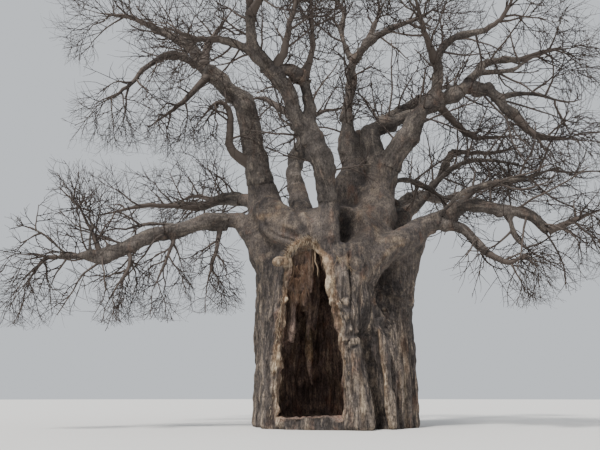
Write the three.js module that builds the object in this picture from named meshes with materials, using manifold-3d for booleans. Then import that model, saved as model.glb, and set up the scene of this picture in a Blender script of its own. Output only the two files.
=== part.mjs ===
// A leafless baobab with a hollow trunk: one fluted trunk, tapering boughs and masses of bare twigs.
// Millimetres, +Z up. The origin is the middle of the flat cut at ground level, and -Y is the hollow's side.
import * as THREE from 'three';
import { mergeVertices } from 'three/addons/utils/BufferGeometryUtils.js';
import Module from 'manifold-3d';

const wasm = await Module();
wasm.setup();

// Driving dimensions
const GIRTH = 2700; // radius of the trunk at half its height
const FOOT = 2760; // radius of the root flare at the ground
const CROTCH = 7650; // height where the trunk's top closes between the boughs
const FLOOR = 300; // height of the wood left under the hollow
const GAP = 0.3; // clearance between neighbouring pieces
const CLEARANCE = 25; // how far a twig stays from other limbs

// Steps of the faceted surfaces
const TRUNK_SIDES = 48;
const HOLLOW_SIDES = 16;
const THICK_SIDES = 8;
const THIN_SIDES = 6;
const STEM_SIDES = 4;
const TWIG_SIDES = 3;
const THICK = 420; // a limb over this thickness takes the finer section
const RINGS_PER_SPAN = 2;
const TIDY = 0.06; // the largest move of the surface when flat neighbouring faces are merged

// Trunk outline: height and radius, from the ground up to the crotch
const TRUNK_OUTLINE = [
  [0, FOOT], [1500, 2720], [3000, GIRTH], [4500, 2680],
  [5500, 2600], [6300, 2420], [6900, 2020], [7350, 1300], [CROTCH, 0],
];

// Lobes (+) and folds (-) run up the trunk. Angles are counter-clockwise from +X, and -90 is the hollow's side.
const FLUTES = [
  { angle: -73, width: 9, depth: 330, top: 6200 },
  { angle: -59, width: 5, depth: -560, top: 4100 },
  { angle: -52.5, width: 4.5, depth: 160, top: 5000 },
  { angle: -45, width: 4, depth: -230, top: 4400 },
  { angle: -34, width: 6, depth: 90, top: 5000 },
  { angle: -22.5, width: 4, depth: -140, top: 4600 },
  { angle: -11, width: 6, depth: 60, top: 5200 },
  { angle: 20, width: 7, depth: -260, top: 5800 },
  { angle: 47, width: 14, depth: 170, top: 6000 },
  { angle: 78, width: 6, depth: -330, top: 6400 },
  { angle: 108, width: 14, depth: 190, top: 6200 },
  { angle: 137, width: 6, depth: -240, top: 5600 },
  { angle: 164, width: 10, depth: 110, top: 5000 },
  { angle: -158, width: 6, depth: -130, top: 3800 },
  { angle: -140, width: 7, depth: 160, top: 4600 },
];

// The buttress beside the hollow and its folds lean: they drift round the trunk as they climb, in degrees a metre
const DRIFT = { angle: -66, width: 22, perMetre: -3 };

// Broad swells (+) and dents (-): angle and its half width, height and its half height. The deepest dent
// lies under the right arm.
const SWELLS = [
  { angle: -42, width: 12, height: 4600, half: 900, depth: -760 },
  { angle: -42, width: 11, height: 3500, half: 1000, depth: -360 },
  { angle: 95, width: 22, height: 2200, half: 1500, depth: 140 },
  { angle: 150, width: 18, height: 4600, half: 1200, depth: -100 },
];

// Muscle-like ridges where limbs run down into the trunk, as stations of x, y, z and thickness
const SINEWS = [
  [[850, -2020, 4100, 380], [1240, -1960, 5150, 780], [1750, -1690, 5750, 950], [2850, -1020, 6420, 800]],
  [[-100, -2050, 5900, 1150], [-750, -2000, 6200, 950], [-1600, -1550, 6700, 1000], [-2250, -650, 7500, 950]],
  [[-2150, -1200, 4200, 600], [-2230, -1180, 5200, 780], [-2600, -1000, 6100, 800], [-3150, -900, 6780, 500]],
];

// The deep cleft right of the centre bough: height, its left and right side at the surface y, and the
// depth in y that it reaches
const CLEFT = [[5800, 100, 500, -1950], [6150, 80, 1000, -1200], [7900, 30, 400, -750]];
const CLEFT_SURFACE = -2100;
const CLEFT_FRONT = -3200;

// The hollow: a tall chamber, and a mouth torn through the front wall
const CHAMBER = { x: -550, y: -720, width: 1.0, deepness: 1.02 };
const CHAMBER_OUTLINE = [
  [0, FLOOR], [1430, FLOOR], [1530, 1300], [1400, 3000], [1050, 4500], [500, 5350], [0, 5500],
];
const MOUTH_LEFT = [[-1900, 0], [-1800, 2100], [-1640, 4000], [-1520, 4900], [-1450, 5350], [-1150, 5640]];
const MOUTH_RIGHT = [[-720, 5740], [-400, 5350], [-330, 4600], [-190, 3900], [20, 2850], [150, 2100], [160, 0]];
const MOUTH_FRONT = -3900;
const MOUTH_BACK = -900;

// A plate of torn wood left hanging in the mouth's top: its outline from the front, its middle and thickness
const TORN_PLATE = {
  outline: [
    [-1620, 5850], [-1640, 4700], [-1400, 4230], [-1280, 4600], [-1130, 4330], [-980, 4800], [-840, 5850],
  ],
  y: -1800,
  thickness: 170,
};

// Limbs that rise from inside the trunk. Each station is x, y, z and thickness, and the first
// `rooted` spans belong to the trunk's own solid.
const MAIN_LIMBS = [
  { name: 'arm_left', rooted: 3, path: [
    [-1750, -600, 4300, 1800], [-2330, -680, 5950, 1280], [-2830, -780, 6680, 880], [-3540, -900, 6960, 590],
    [-5880, -1600, 6320, 440], [-7190, -2200, 5600, 350], [-8880, -2700, 5280, 170]] },
  { name: 'low_left', rooted: 2, path: [
    [-1800, 600, 6300, 1400], [-2610, 1000, 7730, 830], [-3330, 1300, 8400, 470],
    [-4150, 1800, 8500, 420], [-5160, 2400, 8270, 290]] },
  { name: 'left_bough', rooted: 2, path: [
    [-1600, -200, 5600, 2100], [-2300, -250, 7100, 1440], [-2700, -300, 8400, 1010],
    [-2900, -350, 9750, 800], [-3130, -400, 11140, 760], [-3920, -500, 12050, 660],
    [-4790, -600, 12850, 540]] },
  { name: 'centre_bough', rooted: 3, path: [
    [-100, -1800, 4600, 1000], [-200, -2080, 5600, 900], [-270, -2280, 6400, 780], [-320, -2340, 7200, 700],
    [-490, -2400, 8000, 730], [-830, -2550, 9250, 840]] },
  { name: 'rear_left', rooted: 2, path: [
    [-730, 1000, 6100, 1700], [-1100, 1600, 7770, 1000], [-1260, 2000, 8980, 700],
    [-1300, 2600, 10130, 600], [-1150, 3600, 11900, 500], [-1900, 5200, 13600, 360]] },
  { name: 'mid_bough', rooted: 2, path: [
    [900, 200, 5700, 2150], [880, 250, 7700, 1450], [840, 300, 9300, 1150], [740, 480, 10350, 760],
    [670, 620, 11050, 430], [760, 700, 12350, 360], [870, 800, 13850, 340]] },
  { name: 'right_bough', rooted: 2, path: [
    [1150, -600, 5500, 2100], [1360, -600, 7300, 1430], [1860, -600, 8790, 940],
    [2540, -900, 9820, 720], [3390, -1200, 10920, 550], [4780, -1400, 11710, 430]] },
  { name: 'right_mid', rooted: 2, path: [
    [1900, 500, 6300, 1200], [2460, 700, 7300, 670], [3180, 900, 7980, 380],
    [4200, 1200, 9180, 280], [4780, 1500, 10300, 240]] },
  { name: 'arm_right', rooted: 3, path: [
    [1820, -600, 4300, 1800], [2350, -740, 5800, 1280], [2800, -880, 6420, 960], [3350, -1000, 6770, 700],
    [4360, -1400, 7240, 470], [5530, -1800, 7100, 430], [6420, -2100, 6810, 340],
    [6900, -2300, 6220, 290]] },
  { name: 'rear_arm_left', rooted: 2, path: [
    [-600, 900, 5200, 1700], [-1400, 1950, 6900, 1150], [-2100, 2900, 8000, 760],
    [-3700, 5000, 9300, 500], [-5300, 7000, 9900, 300]] },
  { name: 'rear_arm_right', rooted: 2, path: [
    [700, 900, 5200, 1700], [1500, 1950, 6900, 1150], [2200, 2900, 8000, 760],
    [3900, 5000, 9400, 500], [5600, 6900, 9900, 300]] },
];

// Boughs that start on another one: `at` is the share of the parent's length, and `start` the thickness there
const SIDE_LIMBS = [
  { name: 'left_high', parent: 'left_bough', at: 1, start: 460, path: [
    [-5280, -300, 13860, 380], [-6000, 0, 14490, 330], [-7060, 300, 15090, 240]] },
  { name: 'left_arch', parent: 'left_bough', at: 0.97, start: 350, path: [
    [-5880, -1000, 13130, 260], [-6840, -1300, 12460, 180]] },
  { name: 'centre_left', parent: 'centre_bough', at: 0.96, start: 640, path: [
    [-1410, -2800, 10400, 400], [-2080, -3100, 11500, 430]] },
  { name: 'centre_right', parent: 'centre_bough', at: 0.96, start: 600, path: [
    [-780, -2620, 10400, 370], [-1050, -2800, 11450, 400]] },
  { name: 'centre_bridge', parent: 'centre_right', at: 1, start: 410, path: [
    [-1480, -2980, 11560, 390], [-2080, -3100, 11500, 400]] },
  { name: 'centre_arch', parent: 'centre_left', at: 1, start: 370, path: [
    [-2970, -3400, 12140, 300], [-3810, -3600, 12400, 240]] },
  { name: 'centre_up', parent: 'centre_left', at: 1, start: 430, path: [
    [-2440, -3250, 12000, 420], [-2830, -3600, 12510, 320], [-2780, -4000, 13370, 300]] },
  { name: 'mid_left', parent: 'mid_bough', at: 1, start: 270, path: [
    [510, 1000, 15040, 230], [630, 1250, 16200, 190]] },
  { name: 'mid_right', parent: 'mid_bough', at: 0.99, start: 350, path: [
    [1490, 500, 14550, 320], [2490, 200, 14990, 220]] },
  { name: 'right_inner', parent: 'right_bough', at: 0.34, start: 850, path: [
    [1470, -100, 10350, 600], [2210, 200, 10950, 450], [3100, 500, 11440, 380], [4230, 700, 11850, 350]] },
  { name: 'right_up', parent: 'right_bough', at: 0.84, start: 400, path: [
    [3690, -1600, 12200, 340], [3620, -1900, 12630, 310], [4190, -2200, 13200, 250],
    [5180, -2600, 13250, 200]] },
  { name: 'right_far', parent: 'right_bough', at: 0.98, start: 380, path: [
    [5580, -1300, 12620, 290], [6780, -1300, 12820, 180]] },
  { name: 'right_arch', parent: 'right_bough', at: 1, start: 430, path: [
    [5620, -1500, 11320, 420], [6410, -1600, 10450, 340]] },
  { name: 'rear_right', parent: 'mid_bough', at: 0.47, start: 480, path: [
    [2020, 1400, 11500, 420], [3410, 2200, 12600, 390], [4500, 3600, 13700, 320]] },
  { name: 'arm_right_low', parent: 'arm_right', at: 0.46, start: 440, path: [
    [4420, -1400, 6450, 340], [5000, -1800, 5590, 260]] },
];

// Masses of twigs. Each grows on one stem from a limb's tip or flank. `fall` bends its twigs down, or up
// where it is negative, and `spread` is the length of its longest side twigs.
const MASSES = [
  { name: 'twigs_arm_left_tip', parent: 'arm_left', at: 1, fall: 0.5, spread: 1700, path: [
    [-9250, -2800, 5170, 130], [-9700, -3000, 4350, 60]] },
  { name: 'twigs_arm_left_up', parent: 'arm_left', at: 0.88, fall: -0.25, spread: 1900, path: [
    [-7940, -2300, 6150, 110], [-8520, -2400, 7240, 60]] },
  { name: 'twigs_hang_near', parent: 'arm_left', at: 0.53, fall: 0.6, spread: 1500, path: [
    [-4020, -1300, 5870, 140], [-4290, -1500, 4400, 80]] },
  { name: 'twigs_hang_mid', parent: 'arm_left', at: 0.63, fall: 0.6, spread: 1500, path: [
    [-5520, -1600, 5670, 110], [-5990, -1900, 4300, 60]] },
  { name: 'twigs_hang_far', parent: 'arm_left', at: 0.79, fall: 0.6, spread: 1500, path: [
    [-6700, -2200, 5120, 110], [-7150, -2700, 3950, 60]] },
  { name: 'twigs_low_left', parent: 'low_left', at: 1, fall: 0.1, spread: 2300, path: [
    [-7100, 2200, 8300, 180], [-9100, 1700, 7750, 80]] },
  { name: 'twigs_left_side', parent: 'left_bough', at: 0.42, fall: 0.35, spread: 1700, path: [
    [-3650, -800, 9600, 320], [-3720, -1000, 10900, 240], [-4170, -1300, 11150, 150],
    [-4700, -1800, 10200, 80]] },
  { name: 'twigs_left_high', parent: 'left_high', at: 1, fall: 0.1, spread: 2600, path: [
    [-8010, 500, 15600, 180], [-9300, 700, 15900, 80]] },
  { name: 'twigs_left_arch', parent: 'left_arch', at: 1, fall: 0.45, spread: 2000, path: [
    [-7250, -1700, 11580, 140], [-8090, -2100, 10750, 70]] },
  { name: 'twigs_left_droop', parent: 'left_bough', at: 0.95, fall: 0.45, spread: 1700, path: [
    [-5330, -1300, 11190, 190], [-6300, -2000, 10000, 80]] },
  { name: 'twigs_left_spire', parent: 'left_bough', at: 1, fall: -0.2, spread: 2300, path: [
    [-4600, -200, 14160, 230], [-3900, 500, 15850, 100]] },
  { name: 'twigs_centre_arch', parent: 'centre_arch', at: 1, fall: 0.25, spread: 2200, path: [
    [-4500, -3900, 12250, 190], [-5500, -4600, 12300, 90]] },
  { name: 'twigs_top_left', parent: 'centre_up', at: 1, fall: -0.05, spread: 2500, path: [
    [-3100, -4500, 14300, 200], [-3900, -5200, 15200, 90]] },
  { name: 'twigs_top_front', parent: 'centre_up', at: 0.9, fall: 0.1, spread: 2400, path: [
    [-2100, -5200, 13600, 190], [-1500, -6900, 13900, 80]] },
  { name: 'twigs_centre_elbow', parent: 'centre_left', at: 1, fall: -0.1, spread: 2300, path: [
    [-1710, -3400, 12140, 260], [-1450, -3700, 13200, 180], [-900, -4200, 15300, 80]] },
  { name: 'twigs_centre_spire', parent: 'centre_right', at: 1, fall: -0.15, spread: 2100, path: [
    [-730, -2600, 12720, 150], [-800, -2200, 14800, 90]] },
  { name: 'twigs_rear_left_tip', parent: 'rear_left', at: 1, fall: 0.05, spread: 2600, path: [
    [-2900, 6300, 14700, 200], [-4000, 7200, 15000, 90]] },
  { name: 'twigs_rear_mid', parent: 'rear_left', at: 0.85, fall: 0, spread: 2600, path: [
    [-300, 5200, 13500, 200], [900, 6500, 14300, 90]] },
  { name: 'twigs_mid_left', parent: 'mid_left', at: 1, fall: -0.1, spread: 2300, path: [
    [500, 1500, 16700, 130], [100, 1800, 17300, 70]] },
  { name: 'twigs_mid_right', parent: 'mid_right', at: 1, fall: 0, spread: 2300, path: [
    [3280, 0, 15200, 150], [4210, -300, 15600, 80]] },
  { name: 'twigs_mid_spire', parent: 'mid_right', at: 0.5, fall: -0.1, spread: 2200, path: [
    [1950, 900, 15800, 160], [2350, 1600, 16900, 80]] },
  { name: 'twigs_right_inner', parent: 'right_inner', at: 1, fall: 0.2, spread: 2100, path: [
    [4970, 900, 11150, 260], [5670, 1000, 10690, 190], [7500, 1200, 10890, 80]] },
  { name: 'twigs_right_up', parent: 'right_up', at: 1, fall: 0, spread: 2300, path: [
    [5770, -3000, 13600, 140], [6100, -3700, 14300, 70]] },
  { name: 'twigs_right_front', parent: 'right_up', at: 0.45, fall: 0.05, spread: 2500, path: [
    [3050, -3000, 13000, 190], [2300, -4700, 13900, 80]] },
  { name: 'twigs_right_far', parent: 'right_far', at: 1, fall: 0.1, spread: 2200, path: [
    [7620, -1400, 13100, 140], [8400, -1500, 13250, 70]] },
  { name: 'twigs_right_arch', parent: 'right_arch', at: 1, fall: 0.3, spread: 2000, path: [
    [6990, -1800, 9700, 240], [8250, -2000, 9500, 90]] },
  { name: 'twigs_rear_right_tip', parent: 'rear_right', at: 1, fall: 0.05, spread: 2600, path: [
    [5500, 5000, 14700, 180], [6400, 6200, 15000, 80]] },
  { name: 'twigs_right_mid', parent: 'right_mid', at: 1, fall: 0.1, spread: 2200, path: [
    [6370, 2000, 10450, 160], [8100, 2600, 10950, 70]] },
  { name: 'twigs_arm_right_tip', parent: 'arm_right', at: 1, fall: 0.4, spread: 1800, path: [
    [7520, -2600, 6450, 190], [8350, -3000, 6750, 80]] },
  { name: 'twigs_arm_right_up', parent: 'arm_right', at: 0.5, fall: 0.1, spread: 2100, path: [
    [5290, -900, 8140, 180], [7500, -400, 8600, 80]] },
  { name: 'twigs_arm_right_low', parent: 'arm_right_low', at: 1, fall: 0.5, spread: 1600, path: [
    [5650, -2000, 5250, 170], [6300, -2300, 5500, 80]] },
  { name: 'twigs_rear_arm_left', parent: 'rear_arm_left', at: 1, fall: 0.25, spread: 2400, path: [
    [-6200, 7700, 10300, 180], [-7100, 8300, 10200, 80]] },
  { name: 'twigs_rear_arm_right', parent: 'rear_arm_right', at: 1, fall: 0.25, spread: 2400, path: [
    [6500, 7600, 10400, 180], [7400, 8200, 10300, 80]] },
];

// The twigs' branching rule: how many shoots each order bears, where the first one sits on its parent,
// how far it turns away in degrees, and its length as a share of the mass's spread
const ORDERS = [
  { count: 6, first: 0.25, turn: 52, share: 1, spans: 2, thickness: 64 },
  { count: 3, first: 0.35, turn: 48, share: 0.62, spans: 1, thickness: 40 },
];
const LAST = 0.88; // the last shoot's place on its parent
const GOLDEN_TURN = 137.5;
const CROOK = 0.22; // how crooked a shoot grows
const FOOT_SHARE = 0.9; // a shoot's greatest thickness at its foot as a share of its parent's half thickness
const REACH = 1.35; // a mass's space ends this share of its spread away from its stem

// A number from 0 to 1 that depends only on its three keys
function chance(mass, shoot, draw) {
  const s = Math.sin(mass * 12.9898 + shoot * 78.233 + draw * 37.719) * 43758.5453;
  return s - Math.floor(s);
}

const spread = (mass, shoot, draw) => 2 * chance(mass, shoot, draw) - 1;

// A closed three.js geometry as a solid that can be joined and cut
function solidOf(geometry) {
  const bare = geometry.index ? geometry.toNonIndexed() : geometry.clone();
  bare.deleteAttribute('normal');
  bare.deleteAttribute('uv');
  const merged = mergeVertices(bare, 1e-3);
  const faces = [];
  for (let i = 0; i < merged.index.count; i += 3) {
    const face = [0, 1, 2].map((k) => merged.index.getX(i + k));
    if (new Set(face).size === 3) faces.push(...face);
  }
  return new wasm.Manifold(new wasm.Mesh({
    numProp: 3,
    vertProperties: merged.attributes.position.array,
    triVerts: new Uint32Array(faces),
  }));
}

// The largest body of a solid, with any loose scrap dropped
function wholeOf(solid) {
  const bodies = solid.decompose();
  return bodies.reduce((a, b) => (b.volume() > a.volume() ? b : a));
}

function geometryOf(solid) {
  const mesh = solid.asOriginal().simplify(TIDY).getMesh();
  const geometry = new THREE.BufferGeometry();
  const places = new Float32Array(mesh.numVert * 3);
  for (let i = 0; i < mesh.numVert; i++) {
    places.set(mesh.vertProperties.subarray(i * mesh.numProp, i * mesh.numProp + 3), i * 3);
  }
  geometry.setAttribute('position', new THREE.BufferAttribute(places, 3));
  geometry.setIndex(new THREE.BufferAttribute(new Uint32Array(mesh.triVerts), 1));
  const flat = geometry.toNonIndexed();
  flat.computeVertexNormals();
  return flat;
}

// A limb's centre line and thickness, from its stations
function lineOf(stations) {
  const points = stations.map(([x, y, z]) => new THREE.Vector3(x, y, z));
  const curve = new THREE.CatmullRomCurve3(points, false, 'catmullrom', 0.5);
  const spans = stations.length - 1;
  const radiusAt = (t) => {
    const place = Math.min(t * spans, spans - 1e-9);
    const i = Math.floor(place);
    return THREE.MathUtils.lerp(stations[i][3], stations[i + 1][3], place - i) / 2;
  };
  return { curve, spans, radiusAt };
}

// Cross-sections along a line, each with its centre, its two side directions and its radius
function sectionsOf(line, rings) {
  const sections = [];
  let side = null;
  for (let i = 0; i <= rings; i++) {
    const t = i / rings;
    const along = line.curve.getTangent(t);
    if (!side) {
      side = new THREE.Vector3(0, 1, 0);
      if (Math.abs(along.y) > 0.9) side.set(1, 0, 0);
    }
    side = side.clone().addScaledVector(along, -side.dot(along)).normalize();
    const other = new THREE.Vector3().crossVectors(along, side);
    sections.push({ centre: line.curve.getPoint(t), along, side, other, radius: line.radiusAt(t) });
  }
  return sections;
}

// A closed skin over cross-sections: a cylinder whose rings are laid on them, `grow` thicker
function skinOf(sections, sides, grow = 0) {
  const rings = sections.length - 1;
  const geometry = new THREE.CylinderGeometry(1, 1, 1, sides, rings);
  const place = geometry.attributes.position;
  const p = new THREE.Vector3();
  for (let i = 0; i < place.count; i++) {
    p.fromBufferAttribute(place, i);
    const section = sections[Math.round((p.y + 0.5) * rings)];
    const reach = section.radius + grow;
    const spot = section.centre.clone();
    spot.addScaledVector(section.side, p.z * reach);
    spot.addScaledVector(section.other, p.x * reach);
    place.setXYZ(i, spot.x, spot.y, spot.z);
  }
  return solidOf(geometry);
}

// The same sections with the first one, and if asked the last one, moved along the limb
function withEndsMoved(sections, atStart, atTip = 0) {
  const moved = (section, by) => (
    { ...section, centre: section.centre.clone().addScaledVector(section.along, by) });
  return [moved(sections[0], atStart), ...sections.slice(1, -1), moved(sections.at(-1), atTip)];
}

// A limb's cutter: its own skin with the clearance added on all sides
const cutterOf = (sections, sides) => skinOf(withEndsMoved(sections, -GAP, GAP), sides, GAP);

const sidesFor = (sections) => (sections[0].radius * 2 > THICK ? THICK_SIDES : THIN_SIDES);

// Trunk body: a lathe turned from the outline, then pushed in and out by the flutes
function trunkBody(grow) {
  const outline = TRUNK_OUTLINE.map(([height, radius]) => new THREE.Vector2(
    radius > 0 ? radius + grow : 0, height === CROTCH ? height + grow : height));
  const profile = [new THREE.Vector2(0, 0), ...outline];
  const body = new THREE.LatheGeometry(profile, TRUNK_SIDES);
  body.rotateX(Math.PI / 2);
  const place = body.attributes.position;
  for (let i = 0; i < place.count; i++) {
    const [x, y, z] = [place.getX(i), place.getY(i), place.getZ(i)];
    const radius = Math.hypot(x, y);
    if (radius < 1) continue;
    const angle = THREE.MathUtils.radToDeg(Math.atan2(y, x));
    const reach = radius + (fluteAt(angle, z) + swellAt(angle, z)) * radius / GIRTH;
    const drift = DRIFT.perMetre * z / 1000 * bump(angle, DRIFT.angle, DRIFT.width);
    const turned = THREE.MathUtils.degToRad(angle + drift);
    place.setXY(i, reach * Math.cos(turned), reach * Math.sin(turned));
  }
  return solidOf(body);
}

// A smooth bump from 0 to 1 round an angle, all in degrees
function bump(angle, centre, width) {
  const away = THREE.MathUtils.euclideanModulo(angle - centre + 180, 360) - 180;
  return Math.exp(-((away / width) ** 2));
}

// How far the flutes push the surface at an angle and a height
function fluteAt(angle, height) {
  return FLUTES.reduce((sum, flute) => {
    const fade = 1 - THREE.MathUtils.smoothstep(height, 0.6 * flute.top, flute.top);
    return sum + flute.depth * fade * bump(angle, flute.angle, flute.width);
  }, 0);
}

// How far the broad swells push the surface at an angle and a height
function swellAt(angle, height) {
  return SWELLS.reduce((sum, swell) => (
    sum + swell.depth * bump(angle, swell.angle, swell.width)
      * Math.exp(-(((height - swell.height) / swell.half) ** 2))), 0);
}

// The hollow's chamber and mouth as one cutting solid
function hollow() {
  const outline = CHAMBER_OUTLINE.map(([radius, height]) => new THREE.Vector2(radius, height));
  const chamber = new THREE.LatheGeometry(outline, HOLLOW_SIDES);
  chamber.rotateX(Math.PI / 2);
  chamber.scale(CHAMBER.width, CHAMBER.deepness, 1);
  chamber.translate(CHAMBER.x, CHAMBER.y, 0);
  const edge = [...MOUTH_LEFT, ...MOUTH_RIGHT].map(([x, z]) => new THREE.Vector2(x, Math.max(z, FLOOR)));
  const depth = MOUTH_BACK - MOUTH_FRONT;
  const mouth = new THREE.ExtrudeGeometry(new THREE.Shape(edge), { depth, bevelEnabled: false });
  mouth.rotateX(Math.PI / 2);
  mouth.translate(0, MOUTH_BACK, 0);
  return solidOf(chamber).add(solidOf(mouth));
}

// Lines and sections of every limb, by name
const limbs = new Map();
for (const { name, rooted, path } of MAIN_LIMBS) {
  const line = lineOf(path);
  const sections = sectionsOf(line, line.spans * RINGS_PER_SPAN);
  limbs.set(name, { line, sections, cut: rooted * RINGS_PER_SPAN });
}
for (const { name, parent, at, start, path } of SIDE_LIMBS) {
  addBranch(name, parent, at, start, path);
}

function addBranch(name, parent, at, start, path, ringsPerSpan = RINGS_PER_SPAN) {
  const foot = limbs.get(parent).line.curve.getPoint(at);
  const line = lineOf([[foot.x, foot.y, foot.z, start], ...path]);
  const sections = sectionsOf(line, line.spans * ringsPerSpan);
  limbs.set(name, { line, sections, cut: 0 });
  return limbs.get(name);
}

// The trunk with the roots of its boughs, and the same one grown by the clearance, as a cutter
function trunkWith(grow) {
  const roots = MAIN_LIMBS.map(({ name }) => {
    const { sections, cut } = limbs.get(name);
    return skinOf(withEndsMoved(sections.slice(0, cut + 1), 0, grow), THICK_SIDES, grow);
  });
  const sinews = SINEWS.map((stations) => {
    const line = lineOf(stations);
    return skinOf(sectionsOf(line, line.spans), THIN_SIDES, grow);
  });
  return wasm.Manifold.union([trunkBody(grow), ...roots, ...sinews]);
}

// The cleft as a wedge: deepest along its left side, running out at its right one
function cleft() {
  const rings = CLEFT.map(([height, left, right, deep]) => {
    const far = left + (right - left) * (deep - CLEFT_FRONT) / (deep - CLEFT_SURFACE);
    return [[left, CLEFT_FRONT, height], [far, CLEFT_FRONT, height], [left, deep, height]];
  });
  return wasm.Manifold.union(rings.slice(1).map((ring, i) => wasm.Manifold.hull([...rings[i], ...ring])));
}

// The torn plate, cut from its outline
function tornPlate() {
  const { outline, y, thickness } = TORN_PLATE;
  const shape = new THREE.Shape(outline.map(([x, z]) => new THREE.Vector2(x, z)));
  const plate = new THREE.ExtrudeGeometry(shape, { depth: thickness, bevelEnabled: false });
  plate.rotateX(Math.PI / 2);
  plate.translate(0, y + thickness / 2, 0);
  return solidOf(plate);
}

const pieces = new Map(); // node name to its solid
const cutters = []; // grown solids that later limbs are cut clear of

function boughSolid(name) {
  const { sections, cut } = limbs.get(name);
  const free = sections.slice(cut);
  const sides = sidesFor(free);
  let solid = skinOf(withEndsMoved(free, GAP), sides);
  for (const cutter of cutters) {
    solid = solid.subtract(cutter);
  }
  cutters.push(cutterOf(free, sides));
  return wholeOf(solid);
}

pieces.set('trunk', wholeOf(trunkWith(0).subtract(hollow()).subtract(cleft()).add(tornPlate())));
cutters.push(trunkWith(GAP));
for (const { name } of [...MAIN_LIMBS, ...SIDE_LIMBS]) {
  pieces.set(name, boughSolid(name));
}

// A limb as straight pieces, with their start, end and radius
function straightPieces(sections, owner) {
  return sections.slice(1).map((section, i) => ({
    from: sections[i].centre,
    to: section.centre,
    radius: Math.max(sections[i].radius, section.radius),
    owner,
  }));
}

// The stems of the masses, and all that twigs have to miss: every limb and every stem
for (const { name, parent, at, path } of MASSES) {
  const start = at === 1 ? limbs.get(parent).sections.at(-1).radius * 1.6 : path[0][3] * 1.5;
  addBranch(name, parent, at, start, path, 1);
}
const taken = [...limbs].flatMap(([name, { sections }]) => straightPieces(sections, name));

// The least distance between two straight pieces
function distanceBetween(a, b) {
  const u = new THREE.Vector3().subVectors(a.to, a.from);
  const v = new THREE.Vector3().subVectors(b.to, b.from);
  const w = new THREE.Vector3().subVectors(a.from, b.from);
  const [uu, uv, vv, uw, vw] = [u.dot(u), u.dot(v), v.dot(v), u.dot(w), v.dot(w)];
  const flat = uu * vv - uv * uv;
  const clamp = (x) => Math.min(Math.max(x, 0), 1);
  let s = flat > 1e-9 * uu * vv ? clamp((uv * vw - vv * uw) / flat) : 0;
  const t = clamp((uv * s + vw) / vv);
  s = clamp((uv * t - uw) / uu);
  return u.multiplyScalar(s).add(w).addScaledVector(v, -t).length();
}

function distanceTo(point, piece) {
  const line = new THREE.Line3(piece.from, piece.to);
  return line.closestPointToPoint(point, true, new THREE.Vector3()).distanceTo(point);
}

function touches(shoot, owner) {
  return shoot.some((piece) => taken.some((other) => other.owner !== owner
    && distanceBetween(piece, other) < piece.radius + other.radius + CLEARANCE));
}

// One shoot: it leaves its parent at an angle, then bends with the mass's fall and its own crook
function growShoot(mass, id, parent, order, turnIndex) {
  const { first, turn, share, spans, thickness, count } = order;
  const t = THREE.MathUtils.lerp(first, LAST, (turnIndex + chance(mass.seed, id, 1)) / count);
  const origin = parent.line.curve.getPoint(t);
  const along = parent.line.curve.getTangent(t);
  const roll = THREE.MathUtils.degToRad(turnIndex * GOLDEN_TURN + 90 * spread(mass.seed, id, 2));
  const lean = THREE.MathUtils.degToRad(turn * (1 + 0.3 * spread(mass.seed, id, 3)));
  const side = new THREE.Vector3(0, 0, 1).cross(along).normalize();
  const other = new THREE.Vector3().crossVectors(along, side);
  const heading = along.clone().multiplyScalar(Math.cos(lean));
  heading.addScaledVector(side, Math.sin(lean) * Math.cos(roll));
  heading.addScaledVector(other, Math.sin(lean) * Math.sin(roll));
  const length = mass.spread * share * (1 - 0.35 * t) * (0.85 + 0.3 * chance(mass.seed, id, 4));
  const foot = Math.min(thickness, parent.line.radiusAt(t) * FOOT_SHARE);
  const stations = [[origin.x, origin.y, origin.z, foot]];
  const point = origin.clone();
  for (let span = 1; span <= spans; span++) {
    heading.z -= mass.fall * span / spans;
    heading.x += CROOK * spread(mass.seed, id, 5 * span);
    heading.y += CROOK * spread(mass.seed, id, 5 * span + 1);
    heading.z += CROOK * spread(mass.seed, id, 5 * span + 2);
    heading.normalize();
    point.addScaledVector(heading, length / spans);
    stations.push([point.x, point.y, point.z, foot * (1 - span / spans)]);
  }
  const line = lineOf(stations);
  return { id, line, sections: sectionsOf(line, spans), tip: point };
}

// A mass: its stem, then its shoots order by order. A shoot that would touch a limb or another
// mass is skipped, with all that it would bear.
function massSolid(mass) {
  const stem = limbs.get(mass.name);
  const stemPieces = straightPieces(stem.sections, mass.name);
  let solid = skinOf(withEndsMoved(stem.sections, GAP), STEM_SIDES);
  for (const cutter of cutters) {
    solid = solid.subtract(cutter);
  }
  solid = wholeOf(solid);
  const shoots = [];
  let bearers = [{ id: 0, line: stem.line }];
  for (const order of ORDERS) {
    const grown = [];
    for (const parent of bearers) {
      for (let k = 0; k < order.count; k++) {
        const shoot = growShoot(mass, parent.id * 10 + k + 1, parent, order, k);
        const parts = straightPieces(shoot.sections, mass.name);
        const away = Math.min(...stemPieces.map((piece) => distanceTo(shoot.tip, piece)));
        if (away > REACH * mass.spread || touches(parts, mass.name)) continue;
        grown.push(shoot);
        taken.push(...parts);
        shoots.push(skinOf(shoot.sections, TWIG_SIDES));
      }
    }
    bearers = grown;
  }
  return wholeOf(wasm.Manifold.union([solid, ...shoots]));
}

MASSES.forEach((mass, index) => {
  pieces.set(mass.name, massSolid({ ...mass, seed: index + 1 }));
});

const bark = new THREE.MeshStandardMaterial({ color: 0x6e6159, roughness: 0.9, metalness: 0 });
const branchBark = new THREE.MeshStandardMaterial({ color: 0x62554d, roughness: 0.9, metalness: 0 });
const twigBark = new THREE.MeshStandardMaterial({ color: 0x4c423d, roughness: 0.95, metalness: 0 });

function materialFor(name) {
  if (name === 'trunk') return bark;
  return name.startsWith('twigs_') ? twigBark : branchBark;
}

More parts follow.
